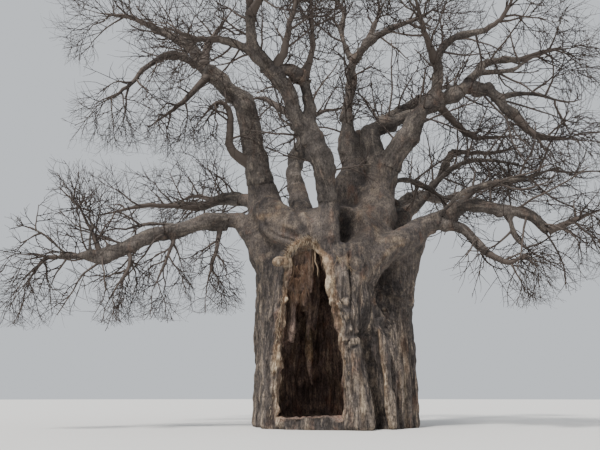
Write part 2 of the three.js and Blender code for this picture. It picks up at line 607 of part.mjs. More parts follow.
const baobab = new THREE.Group();
for (const [name, solid] of pieces) {
  const mesh = new THREE.Mesh(geometryOf(solid), materialFor(name));
  mesh.name = name;
  baobab.add(mesh);
}

export default baobab;
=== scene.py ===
# A leafless baobab with a hollow trunk: bark-covered wood from the ground to the bough tips,
# and twigs that grow on from every limb. Metres, +Z up, the hollow faces -Y.
import math
from contextlib import contextmanager
from itertools import product

import bpy
import numpy as np
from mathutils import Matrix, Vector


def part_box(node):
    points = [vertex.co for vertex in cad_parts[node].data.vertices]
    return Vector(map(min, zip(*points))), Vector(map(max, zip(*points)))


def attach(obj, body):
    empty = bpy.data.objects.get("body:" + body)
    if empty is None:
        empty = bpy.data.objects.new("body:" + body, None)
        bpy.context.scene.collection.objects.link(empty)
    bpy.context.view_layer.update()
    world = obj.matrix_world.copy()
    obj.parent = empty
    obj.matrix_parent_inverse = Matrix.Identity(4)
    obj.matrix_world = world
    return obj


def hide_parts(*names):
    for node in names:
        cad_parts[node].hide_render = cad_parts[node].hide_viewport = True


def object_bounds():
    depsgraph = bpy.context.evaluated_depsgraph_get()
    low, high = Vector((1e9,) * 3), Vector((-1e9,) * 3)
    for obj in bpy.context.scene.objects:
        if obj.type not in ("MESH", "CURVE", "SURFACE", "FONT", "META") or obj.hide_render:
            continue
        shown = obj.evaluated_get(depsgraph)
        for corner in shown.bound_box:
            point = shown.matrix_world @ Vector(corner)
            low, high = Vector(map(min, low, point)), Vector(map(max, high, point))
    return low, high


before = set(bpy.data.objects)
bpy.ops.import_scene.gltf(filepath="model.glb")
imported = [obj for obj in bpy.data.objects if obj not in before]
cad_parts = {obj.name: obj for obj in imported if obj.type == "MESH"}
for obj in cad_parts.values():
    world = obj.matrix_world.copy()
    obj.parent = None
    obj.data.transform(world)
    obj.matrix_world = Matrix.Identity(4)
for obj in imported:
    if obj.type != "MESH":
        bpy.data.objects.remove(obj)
cad_low, cad_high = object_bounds()

# How fine the bark's mesh is, and the most triangles in one piece
GRAIN = 0.046
MOST_TRIANGLES = 194000

# The trunk: heights and radii
TRUNK_OUTLINE = [
    (0, 2.76), (0.45, 2.74), (1.5, 2.72), (3, 2.7), (4.5, 2.68), (5.5, 2.6), (6.3, 2.42), (6.9, 2.02),
    (7.35, 1.3), (7.65, 0),
]
GIRTH = 2.7
# Flutes, then narrow ribs (+) and grooves (-) of the lower trunk: angle, width, depth, top
FLUTES = [
    (-73, 9, 0.33, 6.2), (-59, 5, -0.56, 4.1), (-51, 7, 0.14, 5.2), (-37.5, 5, -0.14, 3.6),
    (-12, 9, 0.05, 5.2), (20, 7, -0.26, 5.8), (47, 14, 0.17, 6), (78, 6, -0.33, 6.4), (108, 14, 0.19, 6.2),
    (137, 6, -0.24, 5.6), (164, 10, 0.11, 5), (-158, 6, -0.13, 3.8), (-140, 7, 0.16, 4.6),
]
RIBS = [
    (-53.5, 2.4, 0.15, 3.9), (-46.5, 2.8, -0.22, 3.6), (-40, 2.2, 0.12, 3.8), (-35, 1.8, -0.09, 3.4),
    (-30, 3, 0.09, 4), (-24, 2.2, -0.13, 3.8), (-18, 2.6, 0.07, 4.2), (-11, 2, -0.08, 4),
    (-4, 3, -0.1, 4.2), (6, 4, 0.07, 4.8), (-69, 1.8, -0.08, 2.4), (-75, 2, 0.06, 2.8),
    (-66, 2.2, -0.09, 2.9), (-79, 2.4, 0.07, 2.6), (-124, 3, 0.09, 4), (-132, 3, -0.1, 3.6),
    (-149, 3, 0.06, 4.2), (-172, 3.5, -0.1, 4.8), (150, 3, 0.08, 4.4), (125, 4, -0.1, 5), (93, 4, 0.09, 5),
    (64, 3.5, -0.1, 4.6), (35, 4, 0.08, 4.4),
]
# Broad swellings (+) and dents (-): angle and its half width, height and its half width, depth
SWELLINGS = [
    (-42, 12, 4.6, 0.9, -0.8), (-42, 11, 3.5, 1, -0.4), (-57, 9, 4.9, 0.8, 0.14),
    (-128, 12, 1.2, 1.2, 0.08), (-57, 5, 2.6, 0.9, 0.1), (30, 20, 3.4, 1.4, -0.12),
    (180, 24, 5.1, 0.6, 0.09), (95, 22, 2.2, 1.5, 0.14), (150, 18, 4.6, 1.2, -0.1),
    (-165, 12, 3.3, 1, 0.06),
]
# The buttress's lean: angle, width, degrees for each metre of height
DRIFT = (-66, 22, -3)
# Muscle-like swells where limbs run into the trunk: stations of x, y, z and thickness
SINEWS = [
    [(0.85, -2.06, 4.1, 0.4), (1.1, -2.03, 4.9, 0.7), (1.38, -1.95, 5.35, 0.86), (1.75, -1.72, 5.75, 0.95),
     (2.25, -1.45, 6.05, 0.95), (2.9, -1.05, 6.45, 0.8)],
    [(-0.1, -2.1, 5.9, 1.2), (-0.75, -2.05, 6.2, 0.95), (-1.6, -1.6, 6.7, 1), (-2.3, -0.9, 7.4, 0.9)],
    [(-2.2, -1.3, 4.2, 0.5), (-2.25, -1.2, 5.2, 0.75), (-2.6, -1, 6.1, 0.8), (-3.2, -0.95, 6.8, 0.55)],
    [(-2.6, -1, 7.35, 0.7), (-2.35, -1.35, 6.85, 0.75), (-2.05, -1.6, 6.45, 0.75), (-1.7, -1.85, 6.1, 0.6),
     (-1.2, -2.05, 5.95, 0.45)],
    [(0.6, 1.9, 5, 0.6), (1.2, 2.1, 6, 0.9), (1.7, 2.3, 7, 0.8)],
    [(-0.6, 1.9, 5, 0.6), (-1.2, 2.1, 6, 0.9), (-1.6, 2.3, 7, 0.8)],
]
# The deep cleft right of the centre bough: height, its left and right side at the surface, and the
# depth in y that it reaches
CLEFT = [
    (5.8, 0.1, 0.5, -1.95), (6.15, 0.08, 1, -1.2), (7.9, 0.03, 0.4, -0.75),
]
CLEFT_SURFACE, CLEFT_FRONT = -2.1, -3.2

# The front, seen from -Y. Dark patches, partly dark bark and partly painted shade that darkens the concavity
# under the right arm, the cleft beside the centre bough and the folds and creases where shade falls: x, z,
# half width, half height, strength
STAINS_AND_PAINTED_SHADE = [
    (1.95, 4.5, 0.42, 0.95, 0.6), (0.3, 6.85, 0.25, 0.6, 0.45), (1.22, 1.7, 0.11, 1.2, 0.5),
    (0.58, 6.2, 0.4, 0.28, 0.5), (1.32, 0.4, 0.15, 0.7, 0.5), (1.82, 1.1, 0.08, 1.1, 0.6),
    (2.55, 2, 0.1, 1.5, 0.3), (0.6, 5, 0.42, 0.5, 0.4), (0.62, 1.3, 0.3, 0.8, 0.4),
    (-2.4, 3.6, 0.2, 1.2, 0.25), (0.42, 4.3, 0.07, 0.8, 0.5), (0.62, 3.1, 0.25, 0.6, 0.45),
    (-0.3, 6.3, 0.1, 0.5, 0.3), (-2.2, 6.6, 0.22, 0.15, 0.5), (-1.85, 6.42, 0.22, 0.15, 0.6),
    (-1.5, 6.25, 0.22, 0.13, 0.5),
]
# Bare, paler wood, and painted light on the right boughs' foot (the four patches from z 7.1 to 8.7), in the
# same way
BARE_WOOD_AND_LIGHT = [
    (1.85, 5.97, 0.36, 0.11, 0.8), (1.4, 6.4, 0.16, 0.3, 0.5), (0.88, 4.63, 0.1, 0.09, 0.9),
    (0.33, 5.2, 0.14, 0.16, 0.7), (-2.4, 6.88, 0.3, 0.1, 1), (-1.85, 7.1, 0.26, 0.45, 0.45),
    (0.18, 2.3, 0.1, 0.5, 0.7), (1.18, 3.95, 0.08, 0.16, 0.6), (1.62, 3.75, 0.06, 0.1, 0.7),
    (2.4, 3, 0.05, 0.5, 0.4), (2.2, 2, 0.18, 0.9, 1), (0.85, 7.1, 0.24, 0.45, 0.35),
    (1.35, 8.1, 0.3, 0.6, 0.4), (1, 7.9, 0.14, 0.5, 0.4), (1.75, 8.7, 0.2, 0.3, 0.4),
]
# Knots (+) and dents (-): x, z, half width, half height, height
FRONT_FORMS = [
    (0.95, 6.9, 0.2, 0.45, 0.1), (0.88, 4.63, 0.1, 0.09, 0.06), (1.85, 5.97, 0.3, 0.1, 0.08),
    (0.16, 3.55, 0.24, 0.3, 0.1), (0.36, 2.55, 0.22, 0.24, 0.05), (0.2, 4.45, 0.13, 0.5, 0.1),
    (0.42, 4.4, 0.1, 0.8, -0.1), (0.95, 5, 0.22, 0.3, 0.12), (1.35, 3.4, 0.13, 0.12, 0.1),
    (1.78, 3.05, 0.1, 0.12, 0.09), (-2.15, 2.2, 0.2, 0.6, 0.06), (0.06, 1.7, 0.12, 0.35, 0.09),
    (0.75, 3.9, 0.2, 0.5, -0.1),
]
# The gnarled knots beside the mouth and the rough bark round them: x, z, half width, half height
KNOTS = [(0.12, 3.72, 0.28, 0.24), (0.42, 2.66, 0.28, 0.26)]
GNARLED = (0.25, 3.3, 0.45, 0.8)
# Ridges (+) and grooves (-) as lines of x and z, with their width on the left and on the right, their height,
# and how pale the ridge or how much painted shade darkens the groove
FRONT_LINES = [
    ([(0.7, 2.8), (0.82, 2.35), (0.98, 1.72), (1.1, 1), (1.2, 0.43), (1.25, 0)], 0.04, 0.26, -0.17, 0.85),
    ([(1.28, 3), (1.33, 2.5), (1.4, 2.1), (1.43, 1.6), (1.52, 0.8), (1.6, 0)], 0.07, 0.06, 0.13, 0.85),
    ([(1.93, 1.3), (1.96, 0.6), (1.98, 0)], 0.06, 0.1, -0.12, 0.75),
    ([(2.1, 2.5), (2.13, 1.7), (2.17, 0.9), (2.22, 0)], 0.07, 0.08, 0.08, 0.5),
    ([(2.42, 2.8), (2.48, 1.5), (2.5, 0)], 0.06, 0.2, -0.08, 0.6),
    ([(0.4, 2.3), (0.36, 1.4), (0.37, 0.5), (0.37, 0)], 0.05, 0.05, 0.06, 0.35),
    ([(0.58, 2.4), (0.62, 1.5), (0.68, 0.7), (0.7, 0)], 0.05, 0.06, 0.05, 0.45),
    ([(0.36, 5.4), (0.41, 4.9), (0.43, 4.4), (0.45, 3.9)], 0.05, 0.05, -0.1, 0.7),
    ([(0.3, 3.4), (0.5, 3.05), (0.62, 2.8)], 0.05, 0.1, -0.08, 0.6),
    ([(-2.5, 6.75), (-2.2, 6.33), (-1.83, 6.05), (-1.43, 5.94)], 0.05, 0.06, -0.08, 0.8),
    ([(-2.45, 6.95), (-2.05, 6.65), (-1.7, 6.48), (-1.3, 6.32)], 0.08, 0.08, 0.05, 0.3),
    ([(-2.3, 6.55), (-1.95, 6.35), (-1.6, 6.18), (-1.25, 6.08)], 0.05, 0.05, -0.05, 0.7),
    ([(-1.32, 7), (-1.17, 6.5), (-1.08, 6.15)], 0.05, 0.08, -0.06, 0.6),
    ([(-1.08, 7), (-0.95, 6.5), (-0.88, 6.1)], 0.07, 0.09, 0.05, 0.35),
    ([(1.05, 4.6), (1.2, 4.95), (1.45, 5.3), (1.75, 5.62), (2.2, 5.85)], 0.07, 0.07, 0.06, 0.45),
    ([(-2.05, 5), (-2.1, 4), (-2.2, 2.6), (-2.25, 1)], 0.05, 0.07, -0.07, 0.5),
]
# Ragged lips of torn wood round the mouth: stations of x, y, z and thickness
LIPS = [
    [(-0.8, -2.35, 5.76, 0.16), (-0.55, -2.46, 5.5, 0.22), (-0.33, -2.56, 5.22, 0.26),
     (-0.2, -2.6, 4.86, 0.26), (-0.17, -2.62, 4.41, 0.24), (-0.13, -2.64, 4.06, 0.22),
     (-0.03, -2.66, 3.74, 0.28), (0.1, -2.68, 3.33, 0.28), (0.16, -2.68, 2.86, 0.22),
     (0.22, -2.7, 2.4, 0.26), (0.26, -2.7, 1.9, 0.2)],
    [(-1.68, -2, 5.3, 0.14), (-1.52, -2.06, 5.62, 0.16), (-1.18, -2.24, 5.82, 0.2),
     (-0.88, -2.34, 5.88, 0.2), (-0.62, -2.44, 5.66, 0.16)],
    [(-1.58, -2.06, 4.9, 0.14), (-1.69, -2.06, 4, 0.18), (-1.82, -1.98, 3.2, 0.2), (-1.9, -1.92, 2.4, 0.22),
     (-1.98, -1.84, 1.6, 0.28), (-2.03, -1.8, 0.8, 0.3), (-2.06, -1.8, 0, 0.3)],
    [(-1.5, -2, 5.2, 0.42), (-1.72, -2.22, 5.24, 0.4), (-1.95, -2.36, 5.2, 0.32),
     (-1.98, -2.4, 5.08, 0.26)],
]
# The hollow: a chamber turned round its own axis, and a mouth torn through the front wall
CHAMBER = (-0.55, -0.72)
CHAMBER_OUTLINE = [
    (0.3, 0), (0.3, 1.43), (1.3, 1.53), (3, 1.4), (4.5, 1.05), (5.35, 0.5), (5.5, 0),
]
MOUTH_LEFT = [
    (-1.9, 0.3), (-1.8, 2.1), (-1.62, 4), (-1.48, 4.9), (-1.42, 5.35), (-1.15, 5.64),
]
MOUTH_RIGHT = [
    (-0.72, 5.74), (-0.4, 5.35), (-0.33, 4.6), (-0.19, 3.9), (0.02, 2.85), (0.15, 2.1), (0.16, 0.3),
]
MOUTH_FRONT, MOUTH_BACK, MOUTH_TOP = -3.9, -0.9, 5.62
# Rotted plates left hanging in the hollow: left, right, y, top, bottom, thickness
TORN_PLATES = [
    (-1.68, -0.72, -1.92, 5.9, 4.15, 0.2), (-1.85, -1.3, -1.6, 5.2, 3.1, 0.16),
    (-1.1, -0.5, -0.8, 5.4, 3.5, 0.16),
]
# A splinter that leans forward from the hollow's back wall: stations of x, y, z and thickness
PLANK = [
    (-0.97, 0.5, 4.3, 0.2), (-0.93, 0.15, 3.5, 0.26), (-0.88, -0.15, 2.6, 0.36), (-0.8, -0.25, 1.9, 0.28),
    (-0.76, -0.3, 1.35, 0.08),
]

# Main limbs: the number of spans that are the trunk's own, then stations of x, y, z and thickness
MAIN_LIMBS = dict(
    arm_left=(3, [(-1.75, -0.6, 4.3, 1.8), (-2.33, -0.68, 5.95, 1.28), (-2.83, -0.78, 6.68, 0.88),
        (-3.54, -0.9, 6.96, 0.59), (-5.88, -1.6, 6.32, 0.44), (-7.19, -2.2, 5.6, 0.35),
        (-8.88, -2.7, 5.28, 0.17)]),
    low_left=(2, [(-1.8, 0.6, 6.3, 1.4), (-2.61, 1, 7.73, 0.83), (-3.33, 1.3, 8.4, 0.47),
        (-4.15, 1.8, 8.5, 0.42), (-5.16, 2.4, 8.27, 0.29)]),
    left_bough=(2, [(-1.6, -0.2, 5.6, 2.1), (-2.3, -0.25, 7.1, 1.44), (-2.7, -0.3, 8.4, 1.01),
        (-2.9, -0.35, 9.75, 0.8), (-3.13, -0.4, 11.14, 0.76), (-3.92, -0.5, 12.05, 0.66),
        (-4.79, -0.6, 12.85, 0.54)]),
    centre_bough=(3, [(-0.1, -1.8, 4.6, 1), (-0.2, -2.08, 5.6, 0.9), (-0.27, -2.28, 6.4, 0.78),
        (-0.32, -2.34, 7.2, 0.7), (-0.49, -2.4, 8, 0.73), (-0.83, -2.55, 9.25, 0.84)]),
    rear_left=(2, [(-0.73, 1, 6.1, 1.7), (-1.1, 1.6, 7.77, 1), (-1.26, 2, 8.98, 0.7),
        (-1.3, 2.6, 10.13, 0.6), (-1.15, 3.6, 11.9, 0.5), (-1.9, 5.2, 13.6, 0.36)]),
    mid_bough=(2, [(0.9, 0.2, 5.7, 2.15), (0.88, 0.25, 7.7, 1.45), (0.84, 0.3, 9.3, 1.15),
        (0.74, 0.48, 10.35, 0.76), (0.67, 0.62, 11.05, 0.43), (0.76, 0.7, 12.35, 0.36),
        (0.87, 0.8, 13.85, 0.34)]),
    right_bough=(2, [(1.15, -0.6, 5.5, 2.1), (1.36, -0.6, 7.3, 1.43), (1.86, -0.6, 8.79, 0.94),
        (2.54, -0.9, 9.82, 0.72), (3.39, -1.2, 10.92, 0.55), (4.78, -1.4, 11.71, 0.43)]),
    right_mid=(2, [(1.9, 0.5, 6.3, 1.2), (2.46, 0.7, 7.3, 0.67), (3.18, 0.9, 7.98, 0.38),
        (4.2, 1.2, 9.18, 0.28), (4.78, 1.5, 10.3, 0.24)]),
    arm_right=(3, [(1.82, -0.6, 4.3, 1.8), (2.35, -0.74, 5.8, 1.28), (2.8, -0.88, 6.42, 0.96),
        (3.35, -1, 6.77, 0.7), (4.36, -1.4, 7.24, 0.47), (5.53, -1.8, 7.1, 0.43), (6.42, -2.1, 6.81, 0.34),
        (6.9, -2.3, 6.22, 0.29)]),
    rear_arm_left=(2, [(-0.6, 0.9, 5.2, 1.7), (-1.4, 1.95, 6.9, 1.15), (-2.1, 2.9, 8, 0.76),
        (-3.7, 5, 9.3, 0.5), (-5.3, 7, 9.9, 0.3)]),
    rear_arm_right=(2, [(0.7, 0.9, 5.2, 1.7), (1.5, 1.95, 6.9, 1.15), (2.2, 2.9, 8, 0.76),
        (3.9, 5, 9.4, 0.5), (5.6, 6.9, 9.9, 0.3)]),
)
# Side limbs: parent, share of its length, thickness at the foot, stations
SIDE_LIMBS = dict(
    left_high=("left_bough", 1, 0.46, [(-5.28, -0.3, 13.86, 0.38), (-6, 0, 14.49, 0.33),
        (-7.06, 0.3, 15.09, 0.24)]),
    left_arch=("left_bough", 0.97, 0.35, [(-5.88, -1, 13.13, 0.26), (-6.84, -1.3, 12.46, 0.18)]),
    centre_left=("centre_bough", 0.96, 0.64, [(-1.41, -2.8, 10.4, 0.4), (-2.08, -3.1, 11.5, 0.43)]),
    centre_right=("centre_bough", 0.96, 0.6, [(-0.78, -2.62, 10.4, 0.37), (-1.05, -2.8, 11.45, 0.4)]),
    centre_bridge=("centre_right", 1, 0.41, [(-1.48, -2.98, 11.56, 0.39), (-2.08, -3.1, 11.5, 0.4)]),
    centre_arch=("centre_left", 1, 0.37, [(-2.97, -3.4, 12.14, 0.3), (-3.81, -3.6, 12.4, 0.24)]),
    centre_up=("centre_left", 1, 0.43, [(-2.44, -3.25, 12, 0.42), (-2.83, -3.6, 12.51, 0.32),
        (-2.78, -4, 13.37, 0.3)]),
    mid_left=("mid_bough", 1, 0.27, [(0.51, 1, 15.04, 0.23), (0.63, 1.25, 16.2, 0.19)]),
    mid_right=("mid_bough", 0.99, 0.35, [(1.49, 0.5, 14.55, 0.32), (2.49, 0.2, 14.99, 0.22)]),
    right_inner=("right_bough", 0.34, 0.85, [(1.47, -0.1, 10.35, 0.6), (2.21, 0.2, 10.95, 0.45),
        (3.1, 0.5, 11.44, 0.38), (4.23, 0.7, 11.85, 0.35)]),
    right_up=("right_bough", 0.84, 0.4, [(3.69, -1.6, 12.2, 0.34), (3.62, -1.9, 12.63, 0.31),
        (4.19, -2.2, 13.2, 0.25), (5.18, -2.6, 13.25, 0.2)]),
    right_far=("right_bough", 0.98, 0.38, [(5.58, -1.3, 12.62, 0.29), (6.78, -1.3, 12.82, 0.18)]),
    right_arch=("right_bough", 1, 0.43, [(5.62, -1.5, 11.32, 0.42), (6.41, -1.6, 10.45, 0.34)]),
    rear_right=("mid_bough", 0.47, 0.48, [(2.02, 1.4, 11.5, 0.42), (3.41, 2.2, 12.6, 0.39),
        (4.5, 3.6, 13.7, 0.32)]),
    arm_right_low=("arm_right", 0.46, 0.44, [(4.42, -1.4, 6.45, 0.34), (5, -1.8, 5.59, 0.26)]),
)
# Smaller limbs seen between the boughs, in the same way
SMALL_LIMBS = dict(
    arm_stub=("arm_left", 0.6, 0.2, [(-6.2, -1.2, 6.75, 0.15), (-7.3, -0.9, 6.6, 0.08)]),
    low_back=("low_left", 0.35, 0.26, [(-4.7, 2.6, 8.5, 0.18), (-6.3, 3.4, 8.8, 0.1)]),
    right_low=("right_bough", 0.3, 0.3, [(2.6, 0, 8.7, 0.2), (3.5, 0.4, 8.55, 0.17),
        (4.3, 0.8, 7.95, 0.1)]),
    right_dip=("right_far", 0.3, 0.22, [(6.2, -1.8, 12.1, 0.18), (6.7, -2, 12.4, 0.1)]),
    arch_up=("right_arch", 0.55, 0.24, [(6.9, -1.7, 11.3, 0.16), (7.9, -1.8, 11, 0.09)]),
    arm_droop=("arm_right", 0.75, 0.22, [(5.95, -1.9, 6.1, 0.14), (6.5, -2, 5.5, 0.08)]),
    mid_side=("mid_left", 0.5, 0.16, [(0.2, 0.9, 15.6, 0.12), (-0.4, 0.8, 16.1, 0.08)]),
    arm_twin=("arm_left", 0.66, 0.4, [(-7.28, -2.3, 5.3, 0.3), (-7.8, -2.35, 5.2, 0.17),
        (-8.3, -2.4, 5.4, 0.1)]),
    arm_whip=("arm_left", 0.84, 0.12, [(-8.2, -2.4, 6.75, 0.09), (-8.75, -2.4, 7.35, 0.07)]),
    arm_whip_tall=("arm_left", 0.91, 0.12, [(-8.05, -2.3, 6.7, 0.09), (-8.25, -2.2, 7.2, 0.07)]),
    arm_whip_far=("arm_left", 0.97, 0.12, [(-9.3, -2.7, 5.95, 0.09), (-9.75, -2.8, 6.2, 0.07)]),
    mid_reach=("right_mid", 0.62, 0.24, [(4.7, 0.6, 9.45, 0.18), (5.85, 0.5, 9.62, 0.15),
        (7, 0.4, 9.4, 0.09)]),
    arm_reach=("arm_right", 0.36, 0.2, [(4.3, -1.9, 7.6, 0.17), (5.4, -1.9, 8, 0.16),
        (6.5, -1.8, 8.2, 0.13), (7.6, -1.6, 8.6, 0.09)]),
    centre_small=("centre_bough", 0.75, 0.2, [(-1.2, -2.2, 9.6, 0.14), (-1.9, -1.8, 10.4, 0.08)]),
)
# Masses of twigs: parent, share of its length, how much they fall, how far they spread, stem
MASSES = dict(
    arm_left_tip=("arm_left", 1, 0.5, 1.7, [(-9.25, -2.8, 5.17, 0.13), (-9.7, -3, 4.35, 0.06)]),
    arm_left_up=("arm_left", 0.88, -0.25, 1.9, [(-7.94, -2.3, 6.15, 0.11), (-8.52, -2.4, 7.24, 0.06)]),
    hang_near=("arm_left", 0.53, 0.6, 1.5, [(-4.02, -1.3, 5.87, 0.14), (-4.29, -1.5, 4.4, 0.08)]),
    hang_mid=("arm_left", 0.63, 0.6, 1.5, [(-5.52, -1.6, 5.67, 0.11), (-5.99, -1.9, 4.3, 0.06)]),
    hang_far=("arm_left", 0.79, 0.6, 1.5, [(-6.7, -2.2, 5.12, 0.11), (-7.15, -2.7, 3.95, 0.06)]),
    low_left=("low_left", 1, 0.1, 2.3, [(-7.1, 2.2, 8.3, 0.18), (-9.1, 1.7, 7.75, 0.08)]),
    left_side=("left_bough", 0.42, 0.35, 1.7, [(-3.65, -0.8, 9.6, 0.32), (-3.72, -1, 10.9, 0.24),
        (-4.17, -1.3, 11.15, 0.15), (-4.7, -1.8, 10.2, 0.08)]),
    left_high=("left_high", 1, 0.1, 2.6, [(-8.01, 0.5, 15.6, 0.18), (-9.3, 0.7, 15.9, 0.08)]),
    left_arch=("left_arch", 1, 0.45, 2, [(-7.25, -1.7, 11.58, 0.14), (-8.09, -2.1, 10.75, 0.07)]),
    left_droop=("left_bough", 0.95, 0.45, 1.7, [(-5.33, -1.3, 11.19, 0.19), (-6.3, -2, 10, 0.08)]),
    left_spire=("left_bough", 1, -0.2, 2.3, [(-4.6, -0.2, 14.16, 0.23), (-3.9, 0.5, 15.85, 0.1)]),
    centre_arch=("centre_arch", 1, 0.25, 2.2, [(-4.5, -3.9, 12.25, 0.19), (-5.5, -4.6, 12.3, 0.09)]),
    top_left=("centre_up", 1, -0.05, 2.5, [(-3.1, -4.5, 14.3, 0.2), (-3.9, -5.2, 15.2, 0.09)]),
    top_front=("centre_up", 0.9, 0.1, 2.4, [(-2.1, -5.2, 13.6, 0.19), (-1.5, -6.9, 13.9, 0.08)]),
    centre_elbow=("centre_left", 1, -0.1, 2.3, [(-1.71, -3.4, 12.14, 0.26), (-1.45, -3.7, 13.2, 0.18),
        (-0.9, -4.2, 15.3, 0.08)]),
    centre_spire=("centre_right", 1, -0.15, 2.1, [(-0.73, -2.6, 12.72, 0.15), (-0.8, -2.2, 14.8, 0.09)]),
    rear_left_tip=("rear_left", 1, 0.05, 2.6, [(-2.9, 6.3, 14.7, 0.2), (-4, 7.2, 15, 0.09)]),
    rear_mid=("rear_left", 0.85, 0, 2.6, [(-0.3, 5.2, 13.5, 0.2), (0.9, 6.5, 14.3, 0.09)]),
    mid_left=("mid_left", 1, -0.1, 2.3, [(0.5, 1.5, 16.7, 0.13), (0.1, 1.8, 17.3, 0.07)]),
    mid_right=("mid_right", 1, 0, 2.3, [(3.28, 0, 15.2, 0.15), (4.21, -0.3, 15.6, 0.08)]),
    mid_spire=("mid_right", 0.5, -0.1, 2.2, [(1.95, 0.9, 15.8, 0.16), (2.35, 1.6, 16.9, 0.08)]),
    right_inner=("right_inner", 1, 0.2, 2.1, [(4.97, 0.9, 11.15, 0.26), (5.67, 1, 10.69, 0.19),
        (7.5, 1.2, 10.89, 0.08)]),
    right_up=("right_up", 1, 0, 2.3, [(5.77, -3, 13.6, 0.14), (6.1, -3.7, 14.3, 0.07)]),
    right_front=("right_up", 0.45, 0.05, 2.5, [(3.05, -3, 13, 0.19), (2.3, -4.7, 13.9, 0.08)]),
    right_far=("right_far", 1, 0.1, 2.2, [(7.62, -1.4, 13.1, 0.14), (8.4, -1.5, 13.25, 0.07)]),
    right_arch=("right_arch", 1, 0.3, 2, [(6.99, -1.8, 9.7, 0.24), (8.25, -2, 9.5, 0.09)]),
    rear_right_tip=("rear_right", 1, 0.05, 2.6, [(5.5, 5, 14.7, 0.18), (6.4, 6.2, 15, 0.08)]),
    right_mid=("right_mid", 1, 0.1, 2.2, [(6.37, 2, 10.45, 0.16), (8.1, 2.6, 10.95, 0.07)]),
    arm_right_tip=("arm_right", 1, 0.4, 1.8, [(7.52, -2.6, 6.45, 0.19), (8.35, -3, 6.75, 0.08)]),
    arm_right_up=("arm_right", 0.5, 0.1, 2.1, [(5.29, -0.9, 8.14, 0.18), (7.5, -0.4, 8.6, 0.08)]),
    arm_right_low=("arm_right_low", 1, 0.5, 1.6, [(5.65, -2, 5.25, 0.17), (6.3, -2.3, 5.5, 0.08)]),
    rear_arm_left=("rear_arm_left", 1, 0.25, 2.4, [(-6.2, 7.7, 10.3, 0.18), (-7.1, 8.3, 10.2, 0.08)]),
    rear_arm_right=("rear_arm_right", 1, 0.25, 2.4, [(6.5, 7.6, 10.4, 0.18), (7.4, 8.2, 10.3, 0.08)]),
)
# Masses that are more open than the rest: how many shoots each shoot bears
OPEN_MASSES = dict(arm_left_up=2, low_left=3, hang_far=3)
# The pieces that the masses are joined in
SPRAYS = {spray: masses.split() for spray, masses in dict(
    left_arm="arm_left_tip arm_left_up hang_near hang_mid hang_far",
    left_crown="low_left left_side left_high left_arch left_droop left_spire",
    front_crown="centre_arch top_left top_front centre_elbow centre_spire",
    rear_crown="rear_left_tip rear_mid rear_right_tip",
    rear_arms="rear_arm_left rear_arm_right right_mid",
    mid_crown="mid_left mid_right mid_spire",
    right_crown="right_inner right_up right_front right_far right_arch",
    right_arm="arm_right_tip arm_right_up arm_right_low",
).items()}
# Limbs whose own flanks bear shoots, with the share of the way where those begin
BEARING = dict(
    arm_left=0.55, low_left=0.5, centre_bough=0.75, rear_left=0.45, mid_bough=0.45, right_bough=0.5,
    right_mid=0.45, arm_right=0.5, rear_arm_left=0.5, rear_arm_right=0.5, left_high=0.1, left_arch=0.15,
    centre_left=0.3, centre_right=0.3, centre_arch=0.1, centre_up=0.15, mid_left=0.1, mid_right=0.1,
    right_inner=0.3, right_up=0.15, right_far=0.1, right_arch=0.15, rear_right=0.2, arm_right_low=0.3,
    arm_stub=0.3, low_back=0.2, right_low=0.2, right_dip=0.2, arch_up=0.2, arm_droop=0.2, mid_side=0.2,
    centre_small=0.3, arm_twin=0.4, arm_whip=0.5, arm_whip_tall=0.5, arm_whip_far=0.5, mid_reach=0.2,
    arm_reach=0.2,
)
# Limbs whose shoots are longer or shorter than the usual two metres
LONG_SHOOTS = ["right_bough", "right_mid", "right_inner", "right_far", "right_arch", "right_low",
               "arch_up", "arm_right", "arm_reach", "mid_reach"]
SHORT_SHOOTS = ["arm_whip", "arm_whip_tall", "arm_whip_far"]
USUAL, SHOOT_LENGTHS = 2, dict.fromkeys(LONG_SHOOTS, 2.9) | dict.fromkeys(SHORT_SHOOTS, 1)

# The branching rule: how many shoots each order bears, where they start, how far they turn, their
# length as a share of the mass's spread, their spans or points and sides, and their thickness
ORDERS = [
    dict(count=6, first=0.25, turn=52, share=1, spans=2, thickness=0.062),
    dict(count=3, first=0.35, turn=48, share=0.62, spans=1, thickness=0.04),
]
FINE_ORDERS = [
    dict(first=0.15, turn=47, share=0.8, points=8, sides=3, thickness=0.04),
    dict(first=0.15, turn=43, share=0.46, points=6, sides=3, thickness=0.027),
]
FLANK_SHOOTS = dict(first=0.1, turn=56, share=1, points=8, sides=4, thickness=0.085)
# How many shoots a metre of a limb's flank bears, and how much they fall
FLANKS_PER_METRE, FLANK_FALL = 2.1, 0.1
# How crooked stems, shoots and splinters are, as a share of their length
STEM_WOBBLE, SHOOT_WOBBLE, SPLINTER_WOBBLE = 0.012, 0.05, 0.04
# How far shoots may pass the box of their own mass, and that of the whole tree
MASS_SLACK, TREE_SLACK = 0.12, 0.15
# How much thicker the source's two orders are drawn, and their points and sides
THICKER = [(1.5, 6, 5), (1.35, 5, 4)]
# Where the last shoot starts, the turn from shoot to shoot, how crooked they are, their foot as a
# share of what bears them, how far from the stem a mass reaches, and the room between shoots
LAST, GOLDEN_TURN, CROOK, FOOT_SHARE, REACH, CLEARANCE = 0.88, 137.5, 0.22, 0.9, 1.35, 0.025
FINE_LAST, THINNEST, LEADER_STEPS = 0.97, 0.011, 7

